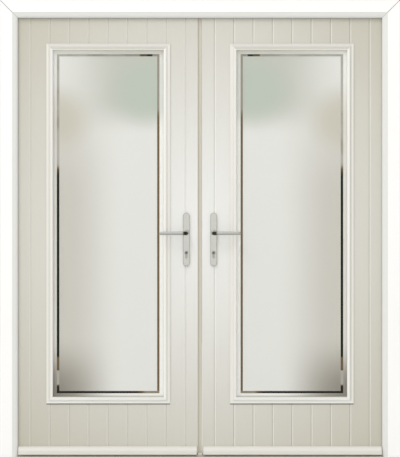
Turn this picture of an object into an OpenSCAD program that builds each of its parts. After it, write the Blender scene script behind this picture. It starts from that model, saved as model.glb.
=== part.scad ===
// A pair of glazed french doors in their outer frame, opening inwards.
// Seen from outside, +X is to the right, +Y goes into the house and +Z is up.
// The origin is at floor level, in the middle of the opening, half way through the leaves.
// Every leaf piece is drawn for the right leaf; the left leaf is its mirror image.

/* [Frame] */
// Overall width of the frame
frame_w = 1800; // [1600:10:2400]
// Overall height, from the floor to the top of the head
frame_h = 2060; // [1950:10:2400]
// Depth of the frame profile, from outside to inside
frame_depth = 70; // [66:1:80]
// Flat outer face of the frame profile
frame_flat = 55; // [50:1:65]
// Rounded bead between the flat face and the opening
frame_bead = 25; // [22:1:30]
// How far the bead falls back behind the flat face
bead_drop = 13; // [8:1:14]
// Wall of the hollow frame profile
frame_wall = 3; // [2:0.5:3.5]
// Thickness of the upstand that the leaves close against
upstand_t = 20; // [19:1:24]
// Room between a leaf and the upstand, filled by the seal
seal_gap = 4; // [3:0.5:5]
// How far the upstand laps over the edge of a leaf
rebate_lap = 14; // [12:1:16]
// Room between a leaf's edges and the frame
leaf_gap = 4; // [3:0.5:5]
// Height of the threshold
threshold_h = 12; // [10:1:14]
// Radius of the holes for the frame fixings
fixing_r = 4.25; // [3:0.25:5]

/* [Leaf] */
// Thickness of a leaf
slab_t = 44; // [42:1:48]
// Thickness of a moulded skin
skin_t = 4; // [3.5:0.5:5]
// Width of the gap between the two leaves
meeting_gap = 19; // [18:0.5:22]
// Room between the leaf's bottom edge and the threshold
floor_gap = 6; // [5:0.5:8]
// Spacing of the board grooves
board_pitch = 87.2; // [60:0.2:120]
// First groove, from the meeting edge
board_first = 57; // [40:1:70]
// Width of a board groove
groove_w = 9; // [5:0.5:12]
// Depth of a board groove
groove_d = 2.5; // [1:0.25:3]
// Width of the lock stile inside the leaf
lock_stile_w = 100; // [95:1:110]
// Width of the hinge stile inside the leaf
hinge_stile_w = 62; // [60:1:80]
// Height of the rails inside the leaf
rail_h = 95; // [60:1:110]

/* [Glazing] */
// Slab face between the meeting edge and the cassette
margin_meeting = 125.5; // [122:0.5:140]
// Slab face between the cassette and the hinge edge
margin_hinge = 142; // [120:1:180]
// Slab face above the cassette
margin_top = 129; // [115:1:200]
// Slab face below the cassette
margin_bottom = 226; // [180:1:300]
// Width of the cassette moulding
cassette_face = 30; // [29:0.5:34]
// How far the cassette stands out from the slab
cassette_rise = 12; // [9:0.5:14]
// How far the cassette laps onto the slab
cassette_lap = 10; // [9:0.5:11]
// Thickness of the sealed glass unit
unit_t = 24; // [20:1:28]
// Thickness of one pane
pane_t = 4; // [3:0.5:6]

/* [Handles and lock] */
// Height of the handle spindle above the floor
spindle_z = 1014; // [950:1:1060]
// Spindle axis to the meeting edge
backset = 52; // [45:1:55]
// Spindle axis to cylinder axis
lock_centres = 92; // [90:1:94]
// Height of a backplate
plate_h = 241; // [236:1:250]
// Width of a backplate
plate_w = 30; // [28:1:32]
// Thickness of a backplate
plate_t = 9; // [8:0.5:11]
// Spindle axis to the top of the backplate
plate_top = 89; // [86:1:94]
// Spindle axis to the tip of the lever
lever_len = 123; // [105:1:140]
// Slab face to the middle of the lever's grip
lever_reach = 46; // [40:1:60]
// Radius of the lever's bar
lever_r = 8; // [7:0.25:8.5]
// Throw of the shootbolts
shootbolt_throw = 16; // [12:1:16]

/* [Hinges and rain deflector] */
// Hinges on each leaf
hinge_count = 3; // [3:1:4]
// Length of a hinge
hinge_len = 100; // [90:1:120]
// Radius of a hinge knuckle
knuckle_r = 8; // [7.5:0.25:9]
// Radius of a hinge pin
pin_r = 4; // [3:0.25:4.5]
// End of a leaf to the middle of its nearest hinge
hinge_end = 200; // [150:5:300]
// Height of the rain deflector
deflector_h = 37.5; // [30:0.5:45]
// How far the rain deflector stands out from the slab
deflector_d = 30; // [20:1:40]

/* [Hidden] */
$fn = 64;
arc_steps = 10;

// Clearances
overrun = 2;
fit = 0.3;
glue = 0.2;
running = 0.05;
slide = 0.4;

// Levels through the wall, y
slab_y = slab_t / 2;
core_y = slab_y - skin_t;
upstand_y = -(slab_y + seal_gap);
frame_out_y = upstand_y - upstand_t;
frame_in_y = frame_out_y + frame_depth;

// Frame and leaf edges, x and z
frame_face = frame_flat + frame_bead;
rebate_u = frame_face - rebate_lap - leaf_gap;
jamb_x = frame_w / 2;
sight_x = jamb_x - frame_face;
rebate_x = jamb_x - rebate_u;
leaf_x0 = meeting_gap / 2;
leaf_x1 = rebate_x - leaf_gap;
leaf_z0 = threshold_h + floor_gap;
leaf_z1 = frame_h - rebate_u - leaf_gap;
leaf_w = leaf_x1 - leaf_x0;
leaf_h = leaf_z1 - leaf_z0;

// Frame profile: u runs from the wall side towards the opening
bead_step = 2;
weld_w = 3;
weld_d = 1.5;
seal_u = frame_face - rebate_lap / 2;
seal_stem_w = 3;
seal_stem_d = 4;
seal_bulb_w = 7;
rear_chamber_w = 11;
main_u0 = frame_wall + rear_chamber_w + frame_wall;
main_u1 = rebate_u - frame_wall;
main_y0 = upstand_y + frame_wall / 2;
main_y1 = frame_in_y - frame_wall;
front_y0 = frame_out_y + frame_wall;
front_y1 = upstand_y - frame_wall / 2;
front_split = frame_flat / 2;
frame_chambers = [
    [[main_u0, main_y0], [main_u1, main_y1]],
    [[frame_wall, main_y0], [frame_wall + rear_chamber_w, main_y1]],
    [[frame_wall, front_y0], [front_split - frame_wall / 2, front_y1]],
    [[front_split + frame_wall / 2, front_y0], [frame_flat - frame_wall, front_y1]]
];
steel_t = 2;

// Fixing holes in the jambs, as heights up the frame
fixing_y = (main_y0 + main_y1) / 2;
fixing_shares = [0.1, 0.36, 0.64, 0.9];
fixing_zs = [for (s = fixing_shares) s * frame_h];

// Threshold
threshold_nose = 7;
threshold_ramp = 14;
threshold_deck = 3.5;
threshold_foot = 6;
rib_count = 4;
rib_w = 2;
rib_d = 0.8;
rib_pitch = 5;
floor_screw_r = 2.75;
floor_screw_y = -2;
floor_screw_shares = [0.35, 0.85];
floor_screw_xs = [for (s = floor_screw_shares) s * sight_x];

// Board grooves on the right leaf, and the chamfer on a skin's upright edges
skin_edge = 1.5;
groove_count = 1 + floor((leaf_w - board_first - groove_w) / board_pitch);
groove_xs = [for (i = [0 : groove_count - 1]) leaf_x0 + board_first + i * board_pitch];

// Cassette and glass, as a rectangle on the right leaf
cassette_x0 = leaf_x0 + margin_meeting;
cassette_x1 = leaf_x1 - margin_hinge;
cassette_z0 = leaf_z0 + margin_bottom;
cassette_z1 = leaf_z1 - margin_top;
cassette_leg = 8;
leg_u0 = cassette_lap + glue;
leg_u1 = leg_u0 + cassette_leg;
glass_u = leg_u1 + fit;
tape_t = 0.4;
seat_d = slab_y - unit_t / 2 - tape_t;
leg_d = slab_y - glue;
hollow_wall = 2.5;
hollow_share = 0.4;
lip_w_share = 0.2;
lip_h_share = 0.42;
cove_share = 0.54;
roll_share = 0.6;
sight_h_share = 0.62;
edge_share = 0.97;
spacer_w = 8;
spacer_wall = 1;

// Screws
screw_r = 2;
screw_head_r = 3.6;
screw_head_h = 2;
cassette_screw_u = (leg_u0 + leg_u1) / 2;
cassette_screw_sink = 6;
cassette_screw_bite = 12;
side_screws = 5;
end_screws = 2;
plate_screw_r = 2.5;
plate_screw_head_r = 4.5;
plate_screw_head_h = 3;
plate_screw_edge = 14;
plate_boss_d = 5;
plate_zs = [spindle_z + plate_top - plate_screw_edge, spindle_z + plate_top - plate_h + plate_screw_edge];

// Handle and cylinder
spindle_x = leaf_x0 + backset;
cylinder_z = spindle_z - lock_centres;
neck_step = 1;
neck_r = lever_r + neck_step;
neck_bore_r = 11;
neck_start = 1;
hub_r = 12.5;
hub_t = 9;
hub_round = 2.5;
hub_gap = 0.5;
bend_r = 14;
grip_drop = 4;
lever_taper = 1;
tip_r = lever_r - lever_taper;
spindle_s = 8;
spindle_grip = 15;
spindle_half = slab_y + spindle_grip;
socket_half = spindle_half + fit;
plate_bevel = 2.5;
plate_rim = 5;
cylinder_r = 8.5;
stem_w = 10;
cylinder_h = 33;
stem_drop = cylinder_h - cylinder_r - stem_w / 2;
cylinder_proud = 2;
cylinder_half = slab_y + plate_t + cylinder_proud;
plug_r = 6.5;
cam_w = 10;
cam_r = 7.8;
lobe_w = 7;
lobe_reach = 14;
cam_room = 1;
key_w = 2.4;
key_h = 9;
key_depth = 14;

// Lock
face_w = 16;
face_t = 3;
face_end = 150;
case_t = 15;
case_wall = 2;
case_up = 56;
case_down = 120;
case_back = 22;
case_x1 = spindle_x + case_back;
hook_shares = [0.2, 0.8];
hook_zs = [for (s = hook_shares) leaf_z0 + s * leaf_h];
hook_t = 8;
hook_arm_w = 10;
hook_arm = 30;
hook_beak = 8;
hook_beak_h = 8;
hook_root_r = 6;
hook_pin_r = 2.5;
hook_pivot_in = 12;
hook_x = leaf_x0 + face_t + hook_pivot_in;
hook_slot_down = 8;
hook_slot_up = 36;
hook_slot_x1 = hook_x + hook_arm_w / 2 + hook_beak + case_wall;
bolt_t = 10;
bolt_set_back = 0.5;
latch_up = 32;
latch_h = 20;
latch_len = 32;
latch_nose = 8;
latch_tip_share = 0.15;
deadbolt_down = 46;
deadbolt_h = 28;
deadbolt_len = 38;
latch_z = spindle_z + latch_up;
deadbolt_z = spindle_z - deadbolt_down;
spindle_bore_r = 6.2;

// Meeting mullion on the left leaf
mullion_clear = 3;
mullion_x1 = leaf_x0 - mullion_clear;
mullion_recess = 9;
mullion_y0 = -slab_y + mullion_recess;
mullion_wall = 2.5;
mullion_lip = 1.8;
mullion_lip_t = 3;
cover_w = 30;
cover_t = 3;
keep_t = 1.5;
keep_w = 18;
keep_edge = 10;
keep_room = 2;
mullion_seal_y = 14.5;
mullion_seal_w = 4;
mullion_seal_d = 1.5;
mullion_seal_lip = 0.9;

// One row for each slot in the mullion: lower and upper end
keep_slots = concat(
    [for (z = hook_zs) [z - hook_slot_down, z + hook_slot_up]],
    [
        [latch_z - latch_h / 2 - keep_room, latch_z + latch_h / 2 + keep_room],
        [deadbolt_z - deadbolt_h / 2 - keep_room, deadbolt_z + deadbolt_h / 2 + keep_room]
    ]
);

// Shootbolts on the left leaf
shootbolt_r = 5;
shootbolt_in = 30;
shootbolt_len = 200;
shootbolt_x = leaf_x0 + shootbolt_in;
shootbolt_set_back = 1;
shootbolt_room = 0.5;
bolt_hole_deep = 28;

// Hinges
hinge_x = leaf_x1 + leaf_gap / 2;
hinge_y = frame_in_y + knuckle_r + fit;
hinge_step = (leaf_h - 2 * hinge_end) / (hinge_count - 1);
hinge_zs = [for (i = [0 : hinge_count - 1]) leaf_z0 + hinge_end + i * hinge_step];
knuckle_share = 0.38;
knuckle_mid = hinge_len * knuckle_share;
knuckle_gap = 0.5;
hinge_plate_w = 42;
hinge_plate_t = 4;
knuckle_root = 3;
hinge_plate_in = hinge_y - knuckle_r + knuckle_root;
knuckle_room = 1;
pin_head_r = 6;
pin_head_h = 3;
hinge_screw_len = 22;
hinge_screw_shares = [-0.36, 0, 0.36];
frame_screw_x = rebate_x + hinge_plate_w / 2 + knuckle_room;
leaf_screw_x = leaf_x1 - hinge_plate_w / 2 - knuckle_room;

// Rain deflector and bottom seal
deflector_floor = 1.5;
deflector_z0 = threshold_h + deflector_floor;
deflector_end = 2;
deflector_meet = 5;
deflector_nose_share = 0.4;
drip_w = 4;
drip_d = 3;
drip_in = 6;
brush_w = 6;
brush_y = 10;
brush_up = 5;
brush_floor = 0.4;

// Points on an ellipse from angle a0 to angle a1
function arc(cx, cy, rx, ry, a0, a1) =
    [for (i = [0 : arc_steps]) let (a = a0 + (a1 - a0) * i / arc_steps) [cx + rx * cos(a), cy + ry * sin(a)]];

// Even places from a to b, both ends included
function spread(a, b, count) = [for (i = [0 : count - 1]) a + (b - a) * i / (count - 1)];

// Placing

module on_left() {
    mirror([1, 0, 0]) children();
}

module both_sides() {
    children();
    mirror([1, 0, 0]) children();
}

// The inside copy of a piece that is drawn for the outside
module inside_out() {
    mirror([0, 1, 0]) children();
}

// Axis-aligned block between two corners
module block(a, b) {
    translate(a) cube(b - a);
}

module rod_x(x0, x1, y, z, r) {
    translate([x0, y, z]) rotate([0, 90, 0]) cylinder(r = r, h = x1 - x0);
}

module rod_y(x, z, r, y0, y1) {
    translate([x, y0, z]) rotate([-90, 0, 0]) cylinder(r = r, h = y1 - y0);
}

module rod_z(x, y, r, z0, z1) {
    translate([x, y, z0]) cylinder(r = r, h = z1 - z0);
}

// An outline drawn as [x, z], made solid from y0 to y1
module slice_y(y0, y1) {
    translate([0, y1, 0]) rotate([90, 0, 0]) linear_extrude(y1 - y0) children();
}

// A section drawn as [y, z], run along X from x0 to x1
module run_x(x0, x1) {
    translate([x0, 0, 0]) rotate([90, 0, 90]) linear_extrude(x1 - x0) children();
}

// Fixed frame

function frame_outline() = concat(
    [[0, frame_out_y], [frame_flat, frame_out_y]],
    arc(frame_flat, frame_out_y + bead_drop, frame_bead, bead_drop - bead_step, -90, 0),
    [[frame_face, upstand_y], [rebate_u, upstand_y], [rebate_u, frame_in_y], [0, frame_in_y]]
);

module frame_section() {
    difference() {
        polygon(frame_outline());
        for (c = frame_chambers) {
            translate(c[0]) square(c[1] - c[0]);
        }
        translate([seal_u - seal_stem_w / 2, upstand_y - seal_stem_d])
            square([seal_stem_w, seal_stem_d + overrun]);
    }
}

module seal_section() {
    stem_w = seal_stem_w - glue;
    stem_y = upstand_y - seal_stem_d + glue;
    translate([seal_u - stem_w / 2, stem_y]) square([stem_w, seal_stem_d]);
    polygon(arc(seal_u, upstand_y, seal_bulb_w / 2, seal_gap - fit, 0, 180));
}

// The right jamb's share of the frame: square at the floor, cut at 45 degrees at the head
module jamb_run() {
    intersection() {
        mirror([1, 0, 0]) translate([-jamb_x, 0, 0]) linear_extrude(frame_h) children();
        slice_y(frame_out_y - overrun, frame_in_y + overrun) polygon([
            [jamb_x + overrun, -overrun],
            [sight_x - overrun, -overrun],
            [sight_x - overrun, frame_h - frame_face - overrun],
            [jamb_x + overrun, frame_h + overrun]
        ]);
    }
}

// The head's share of the frame, cut at 45 degrees at both ends
module head_run() {
    intersection() {
        translate([-jamb_x, 0, frame_h]) rotate([0, 90, 0]) linear_extrude(frame_w) children();
        slice_y(frame_out_y - overrun, frame_in_y + overrun) polygon([
            [-jamb_x - overrun, frame_h + overrun],
            [jamb_x + overrun, frame_h + overrun],
            [sight_x - overrun, frame_h - frame_face - overrun],
            [overrun - sight_x, frame_h - frame_face - overrun]
        ]);
    }
}

// V groove along each mitre, left where the corner weld is cleaned off the flat face
module weld_grooves() {
    run = (frame_flat + weld_w) * sqrt(2);
    both_sides() translate([jamb_x, frame_out_y, frame_h]) rotate([0, 45, 0]) translate([0, 0, -run])
        linear_extrude(run + overrun) polygon([
            [-weld_w / 2, -overrun],
            [weld_w / 2, -overrun],
            [weld_w / 2, 0],
            [0, weld_d],
            [-weld_w / 2, 0]
        ]);
}

module jamb_fixing_holes() {
    for (z = fixing_zs) {
        rod_x(rebate_x - overrun, jamb_x + overrun, fixing_y, z, fixing_r);
    }
}

// Hole for the top shootbolt in the head and its reinforcement
module top_bolt_hole() {
    hole_z = frame_h - rebate_u - overrun;
    rod_z(-shootbolt_x, 0, shootbolt_r + shootbolt_room, hole_z, hole_z + bolt_hole_deep);
}

module jamb() {
    color("white") difference() {
        jamb_run() frame_section();
        weld_grooves();
        jamb_fixing_holes();
        hinge_screw_holes(frame_screw_x, frame_in_y);
    }
}

module frame_head() {
    color("white") difference() {
        head_run() frame_section();
        weld_grooves();
        top_bolt_hole();
    }
}

module steel_section() {
    size = [main_u1 - main_u0 - 2 * fit, main_y1 - main_y0 - 2 * fit];
    translate([main_u0 + fit, main_y0 + fit]) difference() {
        square(size);
        translate([steel_t, steel_t]) square(size - 2 * [steel_t, steel_t]);
    }
}

// Three galvanised tubes inside the hollow profiles
module frame_reinforcement() {
    color("gray") {
        both_sides() difference() {
            translate([jamb_x, 0, threshold_h]) mirror([1, 0, 0])
                linear_extrude(frame_h - frame_face - threshold_h) steel_section();
            jamb_fixing_holes();
            hinge_screw_holes(frame_screw_x, frame_in_y);
        }
        difference() {
            translate([-sight_x, 0, frame_h]) rotate([0, 90, 0]) linear_extrude(2 * sight_x) steel_section();
            top_bolt_hole();
        }
    }
}

module frame_seal() {
    color("dimgray") {
        both_sides() intersection() {
            jamb_run() seal_section();
            block([0, frame_out_y, threshold_h + fit], [jamb_x, frame_in_y, frame_h]);
        }
        head_run() seal_section();
    }
}

module threshold_section() {
    difference() {
        polygon([
            [frame_out_y, 0],
            [frame_out_y, threshold_nose],
            [frame_out_y + threshold_ramp, threshold_h],
            [frame_in_y - threshold_ramp, threshold_h],
            [frame_in_y, threshold_nose],
            [frame_in_y, 0]
        ]);
        for (y = [[frame_out_y, floor_screw_y], [floor_screw_y, frame_in_y]]) {
            translate([y[0] + threshold_foot, -overrun])
                square([y[1] - y[0] - 2 * threshold_foot, threshold_nose - threshold_deck + overrun]);
        }
        for (i = [0 : rib_count - 1]) {
            translate([frame_out_y + threshold_ramp + (i + 1) * rib_pitch, threshold_h - rib_d])
                square([rib_w, rib_d + overrun]);
        }
    }
}

module threshold() {
    color("darkgray") difference() {
        run_x(fit - rebate_x, rebate_x - fit) threshold_section();
        both_sides() {
            block(
                [sight_x - fit, frame_out_y - overrun, -overrun],
                [jamb_x, upstand_y + fit, threshold_h + overrun]
            );
            for (x = floor_screw_xs) {
                rod_z(x, floor_screw_y, floor_screw_r, -overrun, threshold_h + overrun);
            }
        }
        rod_z(-shootbolt_x, 0, shootbolt_r + shootbolt_room, -overrun, threshold_h + overrun);
    }
}

// Hinges

module hinge_bore(r, z) {
    rod_z(hinge_x, hinge_y, r, z - hinge_len / 2 - overrun, z + hinge_len / 2 + overrun);
}

// Screw holes through a hinge plate and what lies behind it, from the plate's face at y
module hinge_screw_holes(x, y) {
    y0 = y - hinge_screw_len - fit;
    y1 = y + hinge_plate_t + overrun;
    for (z = hinge_zs, s = hinge_screw_shares) {
        rod_y(x, z + s * hinge_len, screw_r + running, y0, y1);
    }
}

module hinge_screws(x, y) {
    for (z = hinge_zs, s = hinge_screw_shares) {
        rod_y(x, z + s * hinge_len, screw_r, y - hinge_screw_len, y + hinge_plate_t);
        rod_y(x, z + s * hinge_len, screw_head_r, y + hinge_plate_t, y + hinge_plate_t + screw_head_h);
    }
}

// The half on the frame: a plate with an upper and a lower knuckle
module frame_hinge_half(z) {
    plate_x0 = rebate_x + knuckle_room;
    difference() {
        union() {
            block(
                [plate_x0, frame_in_y, z - hinge_len / 2],
                [plate_x0 + hinge_plate_w, frame_in_y + hinge_plate_t, z + hinge_len / 2]
            );
            block(
                [hinge_x, frame_in_y, z - hinge_len / 2],
                [plate_x0 + overrun, frame_in_y + hinge_plate_t, z + hinge_len / 2]
            );
            rod_z(hinge_x, hinge_y, knuckle_r, z - hinge_len / 2, z + hinge_len / 2);
        }
        block(
            [hinge_x - 2 * knuckle_r, frame_in_y - overrun, z - knuckle_mid / 2 - knuckle_gap],
            [hinge_x + knuckle_r + knuckle_room, hinge_y + 2 * knuckle_r, z + knuckle_mid / 2 + knuckle_gap]
        );
        hinge_bore(pin_r + running, z);
    }
}

// The half on the leaf: a plate with the middle knuckle
module leaf_hinge_half(z) {
    plate_x1 = leaf_x1 - knuckle_room;
    notch_x0 = hinge_x - knuckle_r - 2 * knuckle_room;
    notch_half = (hinge_len - knuckle_mid) / 2;
    difference() {
        union() {
            difference() {
                block(
                    [plate_x1 - hinge_plate_w, slab_y, z - hinge_len / 2],
                    [plate_x1, slab_y + hinge_plate_t, z + hinge_len / 2]
                );
                for (end = [-1, 1]) {
                    translate([0, 0, z + end * hinge_len / 2]) block(
                        [notch_x0, slab_y - overrun, -notch_half],
                        [hinge_x, hinge_y, notch_half]
                    );
                }
            }
            block(
                [plate_x1 - knuckle_r, slab_y, z - knuckle_mid / 2],
                [hinge_x, hinge_plate_in, z + knuckle_mid / 2]
            );
            rod_z(hinge_x, hinge_y, knuckle_r, z - knuckle_mid / 2, z + knuckle_mid / 2);
        }
        hinge_bore(pin_r + running, z);
    }
}

module frame_hinge_leaves() {
    color("silver") both_sides() difference() {
        for (z = hinge_zs) {
            frame_hinge_half(z);
        }
        hinge_screw_holes(frame_screw_x, frame_in_y);
    }
}

module hinge_leaves() {
    color("silver") difference() {
        for (z = hinge_zs) {
            leaf_hinge_half(z);
        }
        hinge_screw_holes(leaf_screw_x, slab_y);
    }
}

module hinge_pins() {
    color("silver") both_sides() for (z = hinge_zs) {
        rod_z(hinge_x, hinge_y, pin_r, z - hinge_len / 2, z + hinge_len / 2 + glue);
        rod_z(hinge_x, hinge_y, pin_head_r, z + hinge_len / 2 + glue, z + hinge_len / 2 + pin_head_h);
    }
}

module frame_screws() {
    color("lightgray") both_sides() hinge_screws(frame_screw_x, frame_in_y);
}

// Leaf slab

// Plan section of a skin: flat behind, V grooves on its face and chamfered edges
module skin_section() {
    polygon(concat(
        [
            [leaf_x1, -core_y],
            [leaf_x0, -core_y],
            [leaf_x0, skin_edge - slab_y],
            [leaf_x0 + skin_edge, -slab_y]
        ],
        [for (x = groove_xs, p = [[-groove_w / 2, 0], [0, groove_d], [groove_w / 2, 0]]) [x, -slab_y] + p],
        [[leaf_x1 - skin_edge, -slab_y], [leaf_x1, skin_edge - slab_y]]
    ));
}

module aperture() {
    block(
        [cassette_x0 + cassette_lap, -slab_y - overrun, cassette_z0 + cassette_lap],
        [cassette_x1 - cassette_lap, slab_y + overrun, cassette_z1 - cassette_lap]
    );
}

// Outline of a key cylinder about its plug axis, grown by room
module cylinder_outline(room) {
    translate([spindle_x, cylinder_z]) {
        circle(cylinder_r + room);
        translate([-stem_w / 2 - room, -stem_drop]) square([stem_w + 2 * room, stem_drop]);
        translate([0, -stem_drop]) circle(stem_w / 2 + room);
    }
}

// Holes through the slab for the spindle, the key cylinder and the backplate screws
module handle_holes() {
    rod_y(spindle_x, spindle_z, neck_bore_r, -slab_y - overrun, slab_y + overrun);
    slice_y(-slab_y - overrun, slab_y + overrun) cylinder_outline(slide);
    for (z = plate_zs) {
        rod_y(spindle_x, z, plate_screw_r + running, -slab_y - overrun, slab_y + overrun);
    }
}

module skin() {
    difference() {
        translate([0, 0, leaf_z0]) linear_extrude(leaf_h) skin_section();
        aperture();
        handle_holes();
    }
}

module outer_skin() {
    color([0.84, 0.83, 0.77]) skin();
}

module inner_skin() {
    color([0.84, 0.83, 0.77]) difference() {
        inside_out() skin();
        hinge_screw_holes(leaf_screw_x, slab_y);
    }
}

module foam_core() {
    color("khaki") difference() {
        block(
            [leaf_x0 + lock_stile_w + glue, -core_y, leaf_z0 + rail_h + glue],
            [leaf_x1 - hinge_stile_w - glue, core_y, leaf_z1 - rail_h - glue]
        );
        aperture();
    }
}

module brush_slot(room) {
    block(
        [leaf_x0 + fit - room, brush_y - brush_w / 2 - room, threshold_h + brush_floor],
        [leaf_x1 - fit + room, brush_y + brush_w / 2 + room, leaf_z0 + brush_up + room]
    );
}

// Stiles run the full height and the rails fit between them
module subframe(bolted) {
    color("burlywood") difference() {
        union() {
            block([leaf_x0, -core_y, leaf_z0], [leaf_x0 + lock_stile_w, core_y, leaf_z1]);
            block([leaf_x1 - hinge_stile_w, -core_y, leaf_z0], [leaf_x1, core_y, leaf_z1]);
            for (z = [leaf_z0, leaf_z1 - rail_h]) {
                block(
                    [leaf_x0 + lock_stile_w + glue, -core_y, z],
                    [leaf_x1 - hinge_stile_w - glue, core_y, z + rail_h]
                );
            }
        }
        lock_outline(slide);
        handle_holes();
        brush_slot(glue);
        hinge_screw_holes(leaf_screw_x, slab_y);
        if (bolted) {
            shootbolt_bore(leaf_z0 - overrun, leaf_z0 + shootbolt_len + 2 * shootbolt_throw);
            shootbolt_bore(leaf_z1 - shootbolt_len - 2 * shootbolt_throw, leaf_z1 + overrun);
        }
    }
}

module bottom_seal() {
    color("dimgray") brush_slot(0);
}

// Glazing

// A rectangle of mitred bars; the section is drawn as [u, y] with u running inwards
module mitred_ring(reach) {
    w = cassette_x1 - cassette_x0;
    h = cassette_z1 - cassette_z0;
    x = w / 2 + overrun;
    z = h / 2 + overrun;
    inner_x = w / 2 - reach - overrun;
    inner_z = h / 2 - reach - overrun;
    translate([cassette_x0 + w / 2, 0, cassette_z0 + h / 2]) {
        for (side = [0, 1]) {
            mirror([side, 0, 0]) intersection() {
                translate([-w / 2, 0, -h / 2]) linear_extrude(h) children();
                slice_y(-slab_t, slab_t)
                    polygon([[-x, -z], [-inner_x, -inner_z], [-inner_x, inner_z], [-x, z]]);
            }
            mirror([0, 0, side]) intersection() {
                translate([w / 2, 0, -h / 2]) rotate([0, -90, 0]) linear_extrude(w) children();
                slice_y(-slab_t, slab_t)
                    polygon([[-x, -z], [x, -z], [inner_x, -inner_z], [-inner_x, -inner_z]]);
            }
        }
    }
}

// Cassette section: lip, cove, roll and a leaning flank in front, a leg through the slab and a seat on
// the glass behind
module cassette_section() {
    f = cassette_face;
    r = cassette_rise;
    face_y = -slab_y;
    sight_y = face_y - r * sight_h_share;
    difference() {
        polygon(concat(
            [[0, face_y], [0, face_y - r * lip_h_share]],
            arc(f * lip_w_share, face_y - r, f * (cove_share - lip_w_share), r * (lip_h_share - 1), -90, 0),
            arc(f * roll_share, sight_y, f * (edge_share - roll_share), r * (sight_h_share - 1), 90, 0),
            [
                [f, face_y + seat_d],
                [leg_u1, face_y + seat_d],
                [leg_u1, face_y + leg_d],
                [leg_u0, face_y + leg_d],
                [leg_u0, face_y]
            ]
        ));
        translate([leg_u1 + hollow_wall, face_y - r * hollow_share])
            square([f * edge_share - leg_u1 - 2 * hollow_wall, r * hollow_share + seat_d + overrun]);
    }
}

function cassette_screw_places() =
    let (
        x0 = cassette_x0 + cassette_screw_u,
        x1 = cassette_x1 - cassette_screw_u,
        z0 = cassette_z0 + cassette_screw_u,
        z1 = cassette_z1 - cassette_screw_u,
        inset = cassette_face + cassette_face
    )
    concat(
        [for (x = [x0, x1], z = spread(z0 + inset, z1 - inset, side_screws)) [x, z]],
        [for (z = [z0, z1], x = spread(x0 + inset, x1 - inset, end_screws)) [x, z]]
    );

module outer_cassette() {
    color([0.92, 0.92, 0.89]) difference() {
        mitred_ring(cassette_face) cassette_section();
        for (p = cassette_screw_places()) {
            rod_y(p[0], p[1], screw_r + running, -cassette_screw_bite - fit, overrun);
        }
    }
}

module inner_cassette() {
    color([0.92, 0.92, 0.89]) difference() {
        inside_out() mitred_ring(cassette_face) cassette_section();
        for (p = cassette_screw_places()) {
            rod_y(p[0], p[1], screw_r + running, -overrun, slab_t);
            rod_y(p[0], p[1], screw_head_r + running, slab_y - cassette_screw_sink, slab_t);
        }
    }
}

module cassette_screws() {
    head_y = slab_y - cassette_screw_sink;
    for (p = cassette_screw_places()) {
        rod_y(p[0], p[1], screw_r, -cassette_screw_bite, head_y);
        rod_y(p[0], p[1], screw_head_r, head_y, head_y + screw_head_h);
    }
}

// A sheet inside the cassettes, cut back by inset from the edge of the glass
module glass_sheet(y0, y1, inset) {
    u = glass_u + inset;
    block([cassette_x0 + u, y0, cassette_z0 + u], [cassette_x1 - u, y1, cassette_z1 - u]);
}

module outer_pane() {
    color([0.82, 0.84, 0.8]) glass_sheet(-unit_t / 2, pane_t - unit_t / 2, 0);
}

module inner_pane() {
    color([0.82, 0.84, 0.8]) glass_sheet(unit_t / 2 - pane_t, unit_t / 2, 0);
}

// Hollow spacer between the panes
module spacer_bar() {
    half = unit_t / 2 - pane_t;
    color("gray") difference() {
        glass_sheet(-half, half, 0);
        glass_sheet(-half - overrun, half + overrun, spacer_w);
        difference() {
            glass_sheet(spacer_wall - half, half - spacer_wall, spacer_wall);
            glass_sheet(-half, half, spacer_w - spacer_wall);
        }
    }
}

// Rain deflector

module rain_deflector_section() {
    nose_z = deflector_z0 + deflector_h * deflector_nose_share;
    front_y = -slab_y - deflector_d;
    difference() {
        polygon(concat(
            [[-slab_y, deflector_z0]],
            arc(-slab_y, nose_z, deflector_d, deflector_z0 + deflector_h - nose_z, 90, 180),
            [[front_y, deflector_z0]]
        ));
        translate([front_y + drip_in, deflector_z0 - overrun]) square([drip_w, drip_d + overrun]);
    }
}

module rain_deflector() {
    color([0.9, 0.9, 0.87]) run_x(leaf_x0 + deflector_meet, sight_x - deflector_end) rain_deflector_section();
}

// Handles

// Rounded plate with a bevelled rim; the backplate lies on the slab's outer face
module backplate_blank() {
    r = plate_w / 2;
    z1 = spindle_z + plate_top - r;
    z0 = spindle_z + plate_top - plate_h + r;
    face_y = -slab_y;
    rim_y = face_y - plate_rim;
    top_y = face_y - plate_t;
    for (z = [z0, z1]) {
        rod_y(spindle_x, z, r, rim_y, face_y);
        translate([spindle_x, rim_y, z]) rotate([90, 0, 0])
            cylinder(r1 = r, r2 = r - plate_bevel, h = plate_t - plate_rim);
    }
    translate([spindle_x, 0, z0]) linear_extrude(z1 - z0) polygon([
        [-r, face_y], [-r, rim_y], [plate_bevel - r, top_y], [r - plate_bevel, top_y], [r, rim_y], [r, face_y]
    ]);
}

module backplate_holes() {
    rod_y(spindle_x, spindle_z, neck_r + running, -slab_y - plate_t - overrun, -slab_y + overrun);
    slice_y(-slab_y - plate_t - overrun, -slab_y + overrun) cylinder_outline(fit);
}

module outer_backplate() {
    color("silver") difference() {
        backplate_blank();
        backplate_holes();
        for (z = plate_zs) {
            rod_y(spindle_x, z, plate_screw_r + running, -slab_y - plate_boss_d - fit, -slab_y + overrun);
        }
    }
}

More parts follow.
